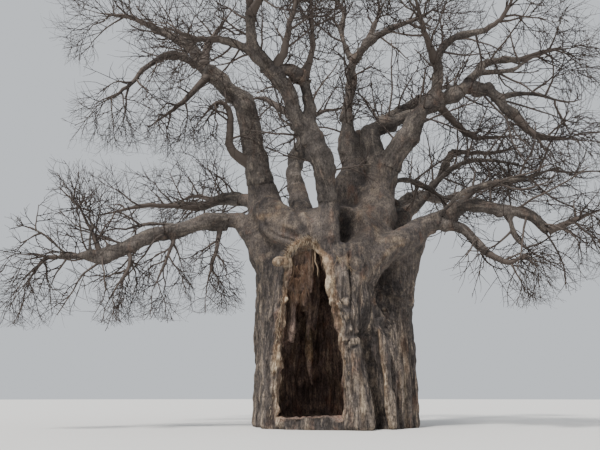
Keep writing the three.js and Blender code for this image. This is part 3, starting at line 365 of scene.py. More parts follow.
# Splinters at the mouth's top: stations of x, y, z and thickness
SPLINTERS = [
    [(-0.7, -2.3, 5.62, 0.06), (-0.68, -2.32, 5.3, 0.05), (-0.62, -2.3, 4.95, 0.045),
     (-0.6, -2.28, 4.72, 0.02)],
    [(-0.55, -2.36, 5.5, 0.05), (-0.5, -2.38, 5.25, 0.05), (-0.48, -2.36, 5.02, 0.02)],
    [(-0.45, -2.4, 5.4, 0.04), (-0.4, -2.42, 5.15, 0.04), (-0.42, -2.4, 4.9, 0.02)],
    [(-0.75, -2.2, 5.6, 0.05), (-0.74, -2.15, 5.2, 0.045), (-0.78, -2.1, 4.85, 0.02)],
]
# Tufts: what they hang along, how many, their direction, length and thickness; the darker ones
# hang inside the mouth
TUFTS = [
    ([(-1.66, -2.06, 5.3), (-1.5, -2.12, 5.62), (-1.18, -2.3, 5.84), (-0.86, -2.4, 5.9),
     (-0.6, -2.5, 5.68)], 130, (0.1, -0.35, -0.9), 0.17, 0.022),
    ([(-1.66, -2.1, 5.4), (-1.5, -2.16, 5.7), (-1.18, -2.34, 5.9), (-0.86, -2.44, 5.95),
     (-0.6, -2.54, 5.76)], 70, (-0.5, -0.7, 0.35), 0.14, 0.022),
    ([(0, -2.68, 5.3), (0.25, -2.66, 5.15), (0.42, -2.6, 4.95)], 45, (0.1, -0.5, -0.8), 0.24, 0.018),
    ([(0, -2.85, 3.85), (0.2, -2.85, 3.6), (0.3, -2.85, 3.3)], 45, (0.3, -0.5, -0.7), 0.16, 0.02),
    ([(0.2, -2.75, 2.6), (0.3, -2.78, 2.2), (0.26, -2.75, 1.8)], 40, (0, -0.4, -0.9), 0.24, 0.02),
    ([(-1.75, -2.06, 4.2), (-1.9, -1.98, 3), (-2.02, -1.92, 1.6), (-2.05, -1.9, 0.5)], 90,
     (0, -0.2, -1), 0.22, 0.02),
    ([(1.5, -2.1, 5.75), (1.9, -2, 5.85), (2.3, -1.8, 6)], 40, (0, -0.5, 0.6), 0.16, 0.02),
]
DARK_TUFTS = [
    ([(-1.6, -1.98, 4.4), (-1.35, -1.98, 4.2), (-1.1, -1.98, 4.25), (-0.9, -1.98, 4.6)], 60,
     (0.05, 0, -1), 0.34, 0.02),
    ([(-1.55, -2.06, 5.2), (-1.2, -2.06, 5.1), (-0.95, -2.06, 5.2)], 40, (0.02, -0.05, -1), 0.5, 0.02),
    ([(-1.5, -2.06, 4.8), (-1.2, -2.06, 4.7), (-1, -2.06, 4.8)], 40, (0.02, -0.05, -1), 0.4, 0.018),
]

# Layers of noise in the wood: stretch, seed, strength
TEARS = ((5, 5, 1.6), 21, 0.09), ((13, 13, 4), 22, 0.04)
FIBRES = ((3.4, 3.4, 0.32), 31, 0.05), ((8, 8, 0.6), 32, 0.03)
TRUNK_LUMPS = (1.3, 34, 0.05), (3.1, 35, 0.034), (7.5, 36, 0.016)
LIMB_LUMPS = (2.2, 41, 0.055), (5.2, 42, 0.028), (10, 43, 0.01)
HOLLOW_RIBS = ((4.5, 4.5, 0.7), 51, 0.07), ((11, 11, 1.6), 52, 0.03)
LINE_WOBBLE = ((3, 3, 1.5), 58, 0.035), ((9, 9, 4), 59, 0.02)
CHAMBER_RIBS = ((4, 4, 0.45), 5, 0.09), ((9, 9, 0.8), 6, 0.05)
MOUTH_TEARS = (2.1, 11, 0.08), (5.5, 12, 0.05)
SLAB_GRAIN = ((7, 7, 1), 64, 1), ((15, 15, 2), 65, 0.5)

# Base, shade, pale and rusty tone of each kind of wood, then plain tones
TRUNK_TONES = (0.155, 0.128, 0.112), (0.058, 0.05, 0.048), (0.36, 0.285, 0.215), (0.17, 0.095, 0.065)
BOUGH_TONES = (0.145, 0.123, 0.109), (0.055, 0.047, 0.043), (0.31, 0.26, 0.21), (0.145, 0.095, 0.072)
HEART_TONES = (0.26, 0.185, 0.155), (0.084, 0.06, 0.052), (0.42, 0.29, 0.21), (0.26, 0.11, 0.07)
TORN_TONES = (0.42, 0.32, 0.215), (0.17, 0.105, 0.065), (0.64, 0.54, 0.4), (0.36, 0.19, 0.1)
FIBRE_TONES = (0.27, 0.205, 0.14), (0.15, 0.1, 0.065), (0.38, 0.31, 0.225), (0.13, 0.075, 0.05)
TWIG_TONES = (0.07, 0.056, 0.048), (0.055, 0.042, 0.037), (0.042, 0.034, 0.03), (0.095, 0.077, 0.067)
# The bluish tint that the stains and painted shade multiply the bark by, then the floor's tone
STAIN_AND_SHADE_TINT, FLOOR_TONE = (0.42, 0.42, 0.44), (0.72, 0.71, 0.69)
SKY_TONE, SUN_TONE = (0.83, 0.87, 0.92), (1, 0.97, 0.92)


def chance(mass, shoot, draw):
    """A number from 0 to 1 that depends only on its three keys."""
    s = np.sin(mass * 12.9898 + shoot * 78.233 + draw * 37.719) * 43758.5453
    return s - np.floor(s)


def either(mass, shoot, draw):
    return 2 * chance(mass, shoot, draw) - 1


def three_ways(mass, shoot, draw):
    """Three draws in a row from -1 to 1, for x, y and z."""
    return either(mass, np.asarray(shoot)[..., None], draw + np.arange(3))


def unit(v):
    return v / np.maximum(np.linalg.norm(v, axis=-1, keepdims=True), 1e-9)


def stack(*columns):
    return np.column_stack(np.broadcast_arrays(*columns))


def place_on(stations, t):
    """Point, direction and radius at a share of a limb's length."""
    s = np.asarray(stations, float)
    spans = len(s) - 1
    place = min(max(t, 0) * spans, spans - 1e-9)
    i = int(place)
    u = place - i
    p = np.vstack([2 * s[0] - s[1], s, 2 * s[-1] - s[-2]])[i:i + 4, :3]
    m0, m1 = (p[2] - p[0]) / 2, (p[3] - p[1]) / 2
    point = ((2 * u**3 - 3 * u**2 + 1) * p[1] + (u**3 - 2 * u**2 + u) * m0
             + (3 * u**2 - 2 * u**3) * p[2] + (u**3 - u**2) * m1)
    along = ((6 * u**2 - 6 * u) * p[1] + (3 * u**2 - 4 * u + 1) * m0
             + (6 * u - 6 * u**2) * p[2] + (3 * u**2 - 2 * u) * m1)
    return point, unit(along), (s[i, 3] * (1 - u) + s[i + 1, 3] * u) / 2


def trace(stations, shares):
    """Points, directions and radii at many shares of a limb's length."""
    return [np.array(part) for part in zip(*(place_on(stations, t) for t in shares))]


def travelled(points):
    """The way along a line from its start to each of its points."""
    return np.concatenate([[0], np.cumsum(np.linalg.norm(np.diff(points, axis=0), axis=1))])


def noise(points, seed):
    """Smooth noise from -1 to 1 at each point, one swell for each unit of length."""
    cell = np.floor(points).astype(np.int64)
    f = points - cell
    f = f * f * f * (f * (f * 6 - 15) + 10)
    total = np.zeros(len(points))
    for corner in range(8):
        step = np.array([corner & 1, corner >> 1 & 1, corner >> 2 & 1])
        h = ((cell + step) * (374761393, 668265263, 1274126177)).sum(axis=1) + seed * 974711 & 0xFFFFFFFF
        h = ((h ^ (h >> 13)) * 1274126177) & 0xFFFFFFFF
        value = ((h ^ (h >> 16)) & 0xFFFF) / 32767.5 - 1
        total += value * np.prod(np.where(step == 1, f, 1 - f), axis=1)
    return total


def layers(points, *given):
    """Noise in layers, each with its stretch, seed and strength."""
    return sum(noise(points * stretch, seed) * strength for stretch, seed, strength in given)


def wander(points, seed):
    return np.column_stack([noise(points, seed + k) for k in range(3)])


def ridges(points, seed):
    """Noise folded into narrow crests, 1 on the crests."""
    return 1 - np.abs(noise(points, seed)) * 2


def smoothstep(x, low, high):
    t = np.clip((x - low) / (high - low), 0, 1)
    return t * t * (3 - 2 * t)


def bump(x, centre, width):
    return np.exp(-(((x - centre) / width) ** 2))


def turn_bump(angle, centre, width):
    return bump((angle - centre + 180) % 360 - 180, 0, width)


def patch(x, z, centre_x, centre_z, wide, tall):
    return np.exp(-(((x - centre_x) / wide) ** 2 + ((z - centre_z) / tall) ** 2))


# Lines of all limbs and stems

def branch_off(parent, at, start, path):
    return np.array([(*place_on(lines[parent], at)[0], start), *path], float)


lines = {name: np.array(path, float) for name, (_, path) in MAIN_LIMBS.items()}
rooted = {name: spans / (len(path) - 1) for name, (spans, path) in MAIN_LIMBS.items()}
for name, row in SIDE_LIMBS.items():
    lines[name] = branch_off(*row)
bough_names = list(lines)
stems = {}
for name, (parent, at, _, _, path) in MASSES.items():
    start = lines[parent][-1, 3] * 0.8 if at == 1 else path[0][3] * 1.5
    stems[name] = branch_off(parent, at, start, path)
for name, row in SMALL_LIMBS.items():
    lines[name] = branch_off(*row)


# Modelling helpers

def only(*objects):
    bpy.ops.object.select_all(action="DESELECT")
    for o in objects:
        o.select_set(True)
    bpy.context.view_layer.objects.active = objects[0]


@contextmanager
def editing(obj, mode="VERT"):
    only(obj)
    bpy.ops.object.mode_set(mode="EDIT")
    bpy.ops.mesh.select_mode(type=mode)
    yield bpy.ops.mesh
    bpy.ops.object.mode_set(mode="OBJECT")


def close_up(obj, gap):
    """Merges what lies together, fills the open ends and turns the faces outwards."""
    with editing(obj) as mesh:
        mesh.select_all(action="SELECT")
        mesh.remove_doubles(threshold=gap)
        mesh.fill_holes(sides=0)
        mesh.normals_make_consistent(inside=False)


def modify(obj, kind, **settings):
    modifier = obj.modifiers.new(kind.lower(), kind)
    for key, value in settings.items():
        setattr(modifier, key, value)
    only(obj)
    bpy.ops.object.modifier_apply(modifier=modifier.name)


def remesh(obj, size):
    modify(obj, "REMESH", mode="VOXEL", voxel_size=size, adaptivity=0)


def join(objects, name):
    only(*objects)
    bpy.ops.object.join()
    objects[0].name = objects[0].data.name = name
    return objects[0]


def new_object(name, mesh):
    obj = bpy.data.objects.new(name, mesh)
    bpy.context.scene.collection.objects.link(obj)
    return obj


def coordinates(obj):
    co = np.empty(len(obj.data.vertices) * 3)
    obj.data.vertices.foreach_get("co", co)
    return co.reshape(-1, 3)


def normals(obj):
    n = np.empty(len(obj.data.vertices) * 3, np.float32)
    obj.data.vertex_normals.foreach_get("vector", n)
    return n.reshape(-1, 3).astype(float)


def set_coordinates(obj, co):
    obj.data.vertices.foreach_set("co", co.astype(np.float32).ravel())
    obj.data.update()


def sheet(name, sides, rows):
    """A flat grid of quads with its corners' places across and down, from 0 to 1."""
    bpy.ops.object.select_all(action="DESELECT")
    bpy.ops.mesh.primitive_grid_add(x_subdivisions=sides, y_subdivisions=rows, size=2)
    obj = bpy.context.object
    obj.name = name
    across, up, _ = coordinates(obj).T
    return obj, (across + 1) / 2, (up + 1) / 2


def turned(name, profile, sides, rows, shape):
    """A closed body turned round Z: a grid is rolled up, its seam merged and its ends filled."""
    obj, across, up = sheet(name, sides, rows)
    steps = np.linspace(0, len(profile) - 1, rows + 1)
    heights, radii = (np.interp(steps, range(len(profile)), column) for column in zip(*profile))
    for _ in range(2):
        radii[1:-1] = (radii[:-2] + 2 * radii[1:-1] + radii[2:]) / 4
    row = np.rint(up * rows).astype(int)
    set_coordinates(obj, shape(across * 360 - 180, heights[row], radii[row]))
    close_up(obj, 0.001)
    return obj


def trunk_shape(turn, z, radius):
    """The trunk's surface: the outline pushed by its flutes and swellings, its buttress leaning."""
    push = np.zeros(len(z))
    for angle, width, depth, top in FLUTES + RIBS:
        push += depth * (1 - smoothstep(z, 0.6 * top, top)) * turn_bump(turn, angle, width)
    for angle, width, height, half, depth in SWELLINGS:
        push += depth * turn_bump(turn, angle, width) * bump(z, height, half)
    reach = radius + push * radius / GIRTH
    angle, width, lean = DRIFT
    turned_by = np.radians(turn + lean * z * turn_bump(turn, angle, width))
    return stack(reach * np.cos(turned_by), reach * np.sin(turned_by), z)


def chamber_shape(turn, z, radius):
    """The chamber's wall, ribbed lengthwise as rotted wood is."""
    across, along = np.cos(np.radians(turn)), np.sin(np.radians(turn))
    ribs = layers(stack(across, along, z), *CHAMBER_RIBS)
    plank = 0.3 * turn_bump(turn, 97, 7) * smoothstep(z, 1.1, 3.2) * (1 - smoothstep(z, 3.4, 4.2))
    reach = radius * (1 + ribs) - plank * (radius > 0.3)
    return stack(CHAMBER[0] + reach * across, CHAMBER[1] + reach * along, z)


def curve_mesh(name, paths, **settings):
    """A curve whose splines run along the paths, their thickness on its points, made a mesh."""
    bpy.ops.object.select_all(action="DESELECT")
    bpy.ops.curve.primitive_nurbs_path_add()
    obj = bpy.context.object
    obj.name = name
    obj.data.splines.clear()
    for key, value in settings.items():
        setattr(obj.data, key, value)
    for points, radii in paths:
        spline = obj.data.splines.new("POLY")
        spline.points.add(len(points) - 1)
        spline.points.foreach_set("co", stack(*points.T, 1).ravel())
        spline.points.foreach_set("radius", radii)
        spline.use_cyclic_u = obj.data.dimensions == "2D"
    bpy.ops.object.convert(target="MESH")
    return bpy.context.object


def mouth_cutter():
    """The mouth's torn outline, filled as a flat curve and drawn through the front wall."""
    corners, edge = np.array(MOUTH_LEFT + MOUTH_RIGHT), []
    for a, b in zip(corners, corners[1:]):
        steps = max(int(np.hypot(*(b - a)) / 0.12), 1)
        edge += [a + (b - a) * k / steps for k in range(steps)]
    sill = np.linspace(corners[-1, 0], corners[0, 0], 24)[:-1]
    rough = np.maximum(noise(stack(sill * 3, 2, 0), 13), -0.2)
    edge = np.vstack([edge, stack(sill, corners[-1, 1] + 0.12 * rough)])
    tear = layers(stack(*edge.T, 0), *MOUTH_TEARS) * (edge[:, 1] > 0.5)
    edge[:, 0] += np.where(edge[:, 0] < -0.95, tear, -tear)
    obj = curve_mesh("mouth", [(stack(*edge.T, 0), np.ones(len(edge)))], dimensions="2D",
                     fill_mode="BOTH", extrude=(MOUTH_BACK - MOUTH_FRONT) / 2)
    obj.rotation_euler = (math.pi / 2, 0, 0)
    obj.location = (0, (MOUTH_FRONT + MOUTH_BACK) / 2, 0)
    bpy.ops.object.transform_apply(location=True, rotation=True, scale=True)
    close_up(obj, 0.0001)
    return obj


def cleft_cutter():
    """A wedge that is deepest along its left side and runs out at its right one."""
    corners = []
    for z, left, right, deep in CLEFT:
        far = left + (right - left) * (deep - CLEFT_FRONT) / (deep - CLEFT_SURFACE)
        corners += [(left, CLEFT_FRONT, z), (far, CLEFT_FRONT, z), (left, deep, z)]
    mesh = bpy.data.meshes.new("cleft")
    sides = [(0, 2, 1), tuple(range(len(corners) - 3, len(corners)))]
    for k in range(0, len(corners) - 3, 3):
        sides += [(k + a, k + b, k + 3 + b, k + 3 + a) for a, b in ((0, 1), (1, 2), (2, 0))]
    mesh.from_pydata(corners, [], sides)
    return new_object("cleft", mesh)


def torn_plate(name, left, right, y, top, bottom, thick):
    """A plate of rotted wood that hangs from the hollow's roof, ragged at its lower edge."""
    plate, across, up = sheet(name, 20, 40)
    down = 1 - up
    x = left + (right - left) * (across * (1 - 0.22 * down) + 0.06 * down)
    ragged = 0.28 * noise(stack(across * 5, 3, 0), 14) + 0.16 * noise(stack(across * 13, 7, 0), 15)
    z = top + (bottom - top) * down * (1 + ragged - 0.35 * (across - 0.45) ** 2)
    back = 0.1 * noise(stack(x * 3, z * 0.7, 0), 16) + 0.25 * np.sin(across * math.pi)
    set_coordinates(plate, stack(x, y + back - 0.12 * down, z))
    modify(plate, "SOLIDIFY", thickness=thick, offset=0)
    return plate


def limb_tubes(name, paths):
    """Round limbs, swaying a little above the trunk."""
    swayed = []
    for points, radii in paths:
        much = np.minimum(0.4 * radii, 0.14) * smoothstep(points[:, 2], 6.5, 8)
        swayed.append((points + wander(points * 1.1, 81) * much[:, None], radii))
    return curve_mesh(name, swayed, dimensions="3D", bevel_depth=1, bevel_resolution=4, use_fill_caps=True)


def sampled(name, step=0.14):
    """Points, directions, radii and way along a limb, with a collar where it leaves its parent."""
    line = lines[name]
    count = max(int(travelled(line[:, :3])[-1] / step), 3)
    points, along, radii = trace(line, np.arange(count + 1) / count)
    way = travelled(points)
    if name not in MAIN_LIMBS:
        radii = radii * (1 + 0.35 * np.exp(-way / 0.3))
    seed = sum(map(ord, name))
    lumps = noise(stack(way * 1.3, seed, 0), 3) + 0.5 * noise(stack(way * 3.1, seed, 0), 4)
    sway = np.column_stack([noise(stack(way * 1.1, seed, k), 8) for k in (1, 5, 9)])
    fade = smoothstep(way, 0, 0.8) * smoothstep(way[-1] - way, 0, 0.5)
    points = points + sway * fade[:, None] * np.minimum(radii, 0.3)[:, None] * 0.35
    return points, along, radii * (1 + 0.07 * lumps), way


def lip_line(path):
    """Points and uneven radii along a lip of torn wood."""
    points, _, radii = trace(path, np.arange(61) / 60)
    points += 0.03 * wander(points * 4, 71)
    return points, radii * (0.72 + 0.1 * noise(points * 3, 74) + 0.06 * noise(points * 11, 75))


def lip_nearness(co):
    """1 on the lips of torn wood, falling to 0 a hand's breadth away."""
    near = np.zeros(len(co))
    close = np.flatnonzero((co[:, 1] < -1.5) & (co[:, 2] < 6.2) & (co[:, 0] < 0.8))
    for path in LIPS:
        points, radii = lip_line(path)
        gap = np.linalg.norm(co[close, None] - points[None], axis=2) - radii
        near[close] = np.maximum(near[close], 1 - smoothstep(gap.min(axis=1), 0.02, 0.1))
    return near


# The twigs' growth: the source's rule first, then its finer orders

def straight_pieces(line, rings):
    points, _, radii = trace(line, np.arange(rings + 1) / rings)
    return points[:-1], points[1:], np.maximum(radii[:-1], radii[1:])


def least_distance(a0, a1, b0, b1):
    """The least distance from one straight piece to each of many others."""
    u, v, w = a1 - a0, b1 - b0, a0 - b0
    uu, uv, vv = u @ u, v @ u, (v * v).sum(axis=1)
    uw, vw = w @ u, (v * w).sum(axis=1)
    flat = uu * vv - uv * uv
    s = np.where(flat > 1e-9 * uu * vv, np.clip((uv * vw - vv * uw) / np.maximum(flat, 1e-12), 0, 1), 0)
    t = np.clip((uv * s + vw) / np.maximum(vv, 1e-12), 0, 1)
    s = np.clip((uv * t - uw) / uu, 0, 1)
    return np.linalg.norm(s[:, None] * u + w - t[:, None] * v, axis=1)


def distance_to_line(point, starts, ends):
    way = ends - starts
    t = np.clip(((point - starts) * way).sum(axis=1) / np.maximum((way * way).sum(axis=1), 1e-12), 0, 1)
    return np.linalg.norm(starts + way * t[:, None] - point, axis=1).min()


def grow_shoot(seed, number, parent, order, k, fall, spread):
    """One shoot of the source's rule: it leaves its parent at an angle, falls and crooks."""
    t = order["first"] + (LAST - order["first"]) * (k + chance(seed, number, 1)) / order["count"]
    point, along, radius = place_on(parent, t)
    roll = math.radians(k * GOLDEN_TURN + 90 * either(seed, number, 2))
    lean = math.radians(order["turn"] * (1 + 0.3 * either(seed, number, 3)))
    side = unit(np.cross((0, 0, 1), along))
    heading = along * math.cos(lean) + side * math.sin(lean) * math.cos(roll)
    heading += np.cross(along, side) * math.sin(lean) * math.sin(roll)
    length = spread * order["share"] * (1 - 0.35 * t) * (0.85 + 0.3 * chance(seed, number, 4))
    foot = min(order["thickness"], radius * FOOT_SHARE)
    stations = [(*point, foot)]
    for span in range(1, order["spans"] + 1):
        heading[2] -= fall * span / order["spans"]
        heading = unit(heading + CROOK * three_ways(seed, number, 5 * span))
        point = point + heading * length / order["spans"]
        stations.append((*point, foot * (1 - span / order["spans"])))
    return np.array(stations)


# Starts, ends, radii and owners of all that stands so far
taken = []


def take(pieces, owner):
    taken.append((*pieces, np.full(len(pieces[0]), owner)))


def touches(pieces, owner):
    starts, ends, radii, owners = (np.concatenate(column) for column in zip(*taken))
    others = owners != owner
    return any((least_distance(a, b, starts[others], ends[others]) < r + radii[others] + CLEARANCE).any()
               for a, b, r in zip(*pieces))


def grow_mass(index, name):
    """The shoots of one mass, order by order, as the source grows them: numbers and lines."""
    _, _, fall, spread, _ = MASSES[name]
    stem = straight_pieces(stems[name], len(stems[name]) - 1)
    bearers, orders = [(0, stems[name])], []
    for order in ORDERS:
        grown = []
        for (above, parent), k in product(bearers, range(order["count"])):
            number = above * 10 + k + 1
            shoot = grow_shoot(index + 1, number, parent, order, k, fall, spread)
            pieces = straight_pieces(shoot, order["spans"])
            far = distance_to_line(shoot[-1, :3], *stem[:2]) > REACH * spread
            if not far and not touches(pieces, index):
                grown.append((number, shoot))
                take(pieces, index)
        orders.append(grown)
        bearers = grown
    return orders


def bent(line, count, seed, wobble):
    """A line as evenly spaced points with its radii, a little crooked between its ends."""
    points, _, radii = trace(line, np.arange(count) / (count - 1))
    length = np.linalg.norm(points[-1] - points[0])
    sway = three_ways(seed, np.arange(count) + 1, 60)
    return points + sway * np.sin(np.pi * np.linspace(0, 1, count))[:, None] * length * wobble, radii


def crooked(shoots, count, salt):
    """Points and radii of numbered shoots, each bent in its own way."""
    rows = [bent(line, count, number + salt, SHOOT_WOBBLE) for number, line in shoots]
    return [np.array(column) for column in zip(*rows)]


def kept_in(shoots, room):
    """Shoots shortened so that none leaves the room that the source's own mass fills."""
    low, high = room
    origin = np.clip(shoots[:, :1], low + 0.02, high - 0.02)
    way = shoots - shoots[:, :1]
    far_low, far_high = way.min(axis=1, keepdims=True), way.max(axis=1, keepdims=True)
    share = np.minimum((origin - low) / np.maximum(-far_low, 1e-6),
                       (high - origin) / np.maximum(far_high, 1e-6))
    share = np.clip(share.min(axis=2, keepdims=True), 0.08, 1)
    uneven = 0.6 + 0.4 * chance(1, np.arange(len(way)) + 1, 9)[:, None, None]
    return shoots[:, :1] + way * np.where(share < 1, share * uneven, 1)


def grown_on(points, radii, parent, at):
    """A stem's radii, widened at its foot so that it grows on from a limb without a step."""
    way = travelled(points)
    foot = lines[parent][-1, 3] * 0.53 if at == 1 else radii[0] * 1.4
    radii = np.maximum(radii, radii + (foot - radii[0]) * np.exp(-way / 0.35))
    return radii * (1 - 0.5 * smoothstep(way / way[-1], 0.55, 1))


def leader(line, spread, fall, seed, room):
    """The shoot that carries a limb's own line on past its tip, down to a twig's thickness."""
    tip, heading, radius = place_on(line, 1)
    points = [tip - heading * 0.05]
    for step in range(LEADER_STEPS):
        heading = unit(heading + 0.3 * three_ways(seed, step + 1, 70) - np.array([0, 0, 0.07 * fall]))
        points.append(points[-1] + heading * (0.6 * spread) / LEADER_STEPS)
    return kept_in(np.array(points)[None], room), np.linspace(radius * 0.95, 0.012, LEADER_STEPS + 1)[None]


def grow_fine(points, radii, keys, order, count, fall, spread, seed, room):
    """Finer shoots on many bearers at once, by the same rule: their points, radii and keys."""
    bearers, stations = points.shape[:2]
    k = np.tile(np.arange(count), bearers)
    who = np.repeat(np.arange(bearers), count)
    number = keys[who] * 7 + k + 1
    t = order["first"] + (FINE_LAST - order["first"]) * (k + chance(seed, number, 1)) / count
    place = t * (stations - 1)
    i = np.minimum(place.astype(int), stations - 2)
    u = place - i
    a, b = points[who, i], points[who, i + 1]
    along = unit(b - a)
    roll = np.radians(k * GOLDEN_TURN + 90 * either(seed, number, 2))[:, None]
    lean = np.radians(order["turn"] * (1 + 0.35 * either(seed, number, 3)))[:, None]
    side = unit(np.cross((0, 0, 1.0), along))
    other = np.cross(along, side)
    heading = along * np.cos(lean) + (side * np.cos(roll) + other * np.sin(roll)) * np.sin(lean)
    length = spread * order["share"] * (1 - 0.35 * t) * (0.7 + 0.6 * chance(seed, number, 4))
    foot = np.minimum(order["thickness"] / 2, (radii[who, i] * (1 - u) + radii[who, i + 1] * u) * FOOT_SHARE)
    steps = order["points"] - 1
    bow = 0.55 * three_ways(seed, number, 41) / steps
    line, thick = [a * (1 - u[:, None]) + b * u[:, None]], [foot]
    for step in range(1, order["points"]):
        heading = heading + bow
        heading[:, 2] += (0.15 - 0.5 * fall) / steps
        heading = unit(heading + 0.95 * CROOK * three_ways(seed, number, 5 * step))
        line.append(line[-1] + heading * (length / steps)[:, None])
        thick.append(foot * (1 - 0.6 * step / steps))
    return kept_in(np.stack(line, axis=1), room), np.stack(thick, axis=1), number


# The wood: the trunk with its hollow, then all limbs, as one skin

def woody_body():
    trunk = turned("trunk_body", TRUNK_OUTLINE, 180, 76, trunk_shape)
    roots, boughs = [trace(path, np.arange(17) / 16)[::2] for path in SINEWS], []
    for name, share in rooted.items():
        points, _, radii, _ = sampled(name)
        cut = int(round(share * (len(points) - 1)))
        roots.append((points[:cut + 2], radii[:cut + 2]))
        boughs.append((points[max(cut - 3, 0):], radii[max(cut - 3, 0):]))
    boughs += [sampled(name)[::2] for name in [*SIDE_LIMBS, *SMALL_LIMBS]]
    body = join([trunk, limb_tubes("roots", roots)], "wood")
    remesh(body, GRAIN * 1.5)
    chamber = turned("chamber", CHAMBER_OUTLINE, 96, 60, chamber_shape)
    hollow = join([chamber, mouth_cutter(), cleft_cutter()], "hollow")
    remesh(hollow, GRAIN * 1.2)
    modify(body, "BOOLEAN", operation="DIFFERENCE", solver="EXACT", object=hollow)
    only(hollow)
    bpy.ops.object.delete()
    plates = [torn_plate(f"plate_{k}", *sizes) for k, sizes in enumerate(TORN_PLATES)]
    lips = limb_tubes("lips", [lip_line(path) for path in [*LIPS, PLANK]])
    body = join([body, limb_tubes("boughs", boughs), lips, *plates], "wood")
    remesh(body, GRAIN)
    return body


def skeleton():
    """Samples along every limb: place, direction, radius and way; their limb; if past its root."""
    rows, owner, free = [], [], []
    for number, name in enumerate([*bough_names, *SMALL_LIMBS]):
        rows.append(np.column_stack(sampled(name, 0.2)))
        owner.append(np.full(len(rows[-1]), number))
        free.append(np.linspace(0, 1, len(rows[-1])) > rooted.get(name, 0))
    return np.vstack(rows), np.concatenate(owner), np.concatenate(free)


def nearest_limb(co, rows, owner):
    """For each point its nearest sample, and how much nearer that limb is than the next one."""
    starts = np.flatnonzero(np.diff(owner, prepend=-1))
    samples, found = rows[:, :3], []
    for part in np.split(co, range(20000, len(co), 20000)):
        square = (part**2).sum(1)[:, None] + (samples**2).sum(1)[None] - 2 * part @ samples.T
        gap = np.sqrt(np.maximum(square, 0)) - rows[:, 6]
        two = np.partition(np.minimum.reduceat(gap, starts, axis=1), 1, axis=1)
        found.append((gap.argmin(axis=1), two[:, 0], two[:, 1] - two[:, 0]))
    return [np.concatenate(column) for column in zip(*found)]


def front_line(co, stations):
    """Distance to a line as seen from the front, + on its right where it runs down and - on its left."""
    flat, line = co[:, [0, 2]], np.array(stations)
    least, side = np.full(len(co), 9.0), np.ones(len(co))
    for a, b in zip(line, line[1:]):
        way = b - a
        t = np.clip(((flat - a) @ way) / (way @ way), 0, 1)
        off = flat - a - t[:, None] * way
        gap = np.linalg.norm(off, axis=1)
        side = np.where(gap < least, np.sign(off @ (-way[1], way[0])), side)
        least = np.minimum(gap, least)
    return least * side


def mouth_inside(co, margin):
    """How far a point is inside the mouth's outline seen from the front, from 0 to 1."""
    x, _, z = co.T
    left, right = (np.interp(z, *np.transpose(side)[::-1]) for side in (MOUTH_LEFT, MOUTH_RIGHT[::-1]))
    return (smoothstep(x - left, -margin, 0.02) * smoothstep(right - x, -margin, 0.02)
            * np.where(z > MOUTH_TOP, 0, 1) * smoothstep(z, 5.7, 5.55))


def soften_crooks(body, rows, owner):
    """Fillets where limbs meet, then a light smoothing all over."""
    x, _, z = coordinates(body).T
    _, depth, lead = nearest_limb(coordinates(body), rows, owner)
    crook = (1 - smoothstep(lead, 0.1, 0.5)) * smoothstep(z, 4.2, 5.6) * (1 - smoothstep(depth, 0.3, 0.7))
    crook *= smoothstep(np.hypot((x - 0.4) / 0.9, (z - 6.5) / 1.3), 0.6, 1.1)
    fillet = body.vertex_groups.new(name="crook")
    for level in range(1, 11):
        fillet.add(np.flatnonzero(np.rint(crook * 10) == level).tolist(), level / 10, "REPLACE")
    modify(body, "SMOOTH", factor=0.6, iterations=26, vertex_group="crook")
    modify(body, "SMOOTH", factor=0.5, iterations=2)
    body.vertex_groups.clear()


def grain_of(co, spot, number):
    """Where a point is in its own limb's frame: twice across and once along the limb."""
    axis, offset = spot[:, 3:6], co - spot[:, :3]
    first = unit(np.cross((0, 1.0, 0), axis))
    second = np.cross(axis, first)
    return stack((offset * first).sum(1) + number * 3.1, (offset * second).sum(1) + number * 1.7,
                 spot[:, 7] + (offset * axis).sum(1))


def hollow_walls(co, out, lipped):
    """1 on the walls of the chamber and the mouth, 0 outside them and on the mouth's lips."""
    x, y, z = co.T
    wall = np.hypot(x - CHAMBER[0], y - CHAMBER[1]) - np.interp(z, *np.transpose(CHAMBER_OUTLINE[1:])) * 1.12
    inside = (1 - smoothstep(wall, 0.06, 0.2)) * smoothstep(z, 0.2, 0.3) * (z < 5.6)
    facing_out = smoothstep(-out[:, 1], 0.35, 0.8) * smoothstep(-y, 2.2, 2.5)
    facing_out *= mouth_inside(co, -0.05) < 0.5
    inside = np.maximum(inside, mouth_inside(co, 0.1) * (y < MOUTH_BACK) * (1 - facing_out))
    return np.where(z > 0.22, inside * (1 - lipped), 0)


def fibres_of(co, steep):
    """Fibres and flakes that run up the trunk's steep bark."""
    flakes = np.tanh(noise(co * (7, 7, 0.6), 39) * 4) * 0.6 + np.tanh(noise(co * (13, 13, 1.3), 40) * 4) * 0.4
    fibre = (ridges(co * (5.5, 5.5, 0.45), 33) - 0.3) * 0.03 + flakes * 0.028
    return (layers(co, *FIBRES) + fibre) * steep


def limb_bark(co, grain, streaks, thick, whole):
    """Lumps, burrs, streaks and collars of a limb, as high as its thickness allows."""
    slim = 1 - smoothstep(thick, 0.22, 0.45)
    relief = layers(co, *LIMB_LUMPS) + np.maximum(noise(co * 1.6, 46) - 0.3, 0) * 0.15
    relief += np.maximum(noise(co * 2.9, 47) - 0.12, 0) * 0.3 * slim
    relief += streaks * 0.02 * whole + (ridges(grain * (0.6, 0.6, 2.4) + 3, 45) - 0.4) * 0.014 * whole
    return relief * np.clip(thick / 0.45, 0.12, 1.3)


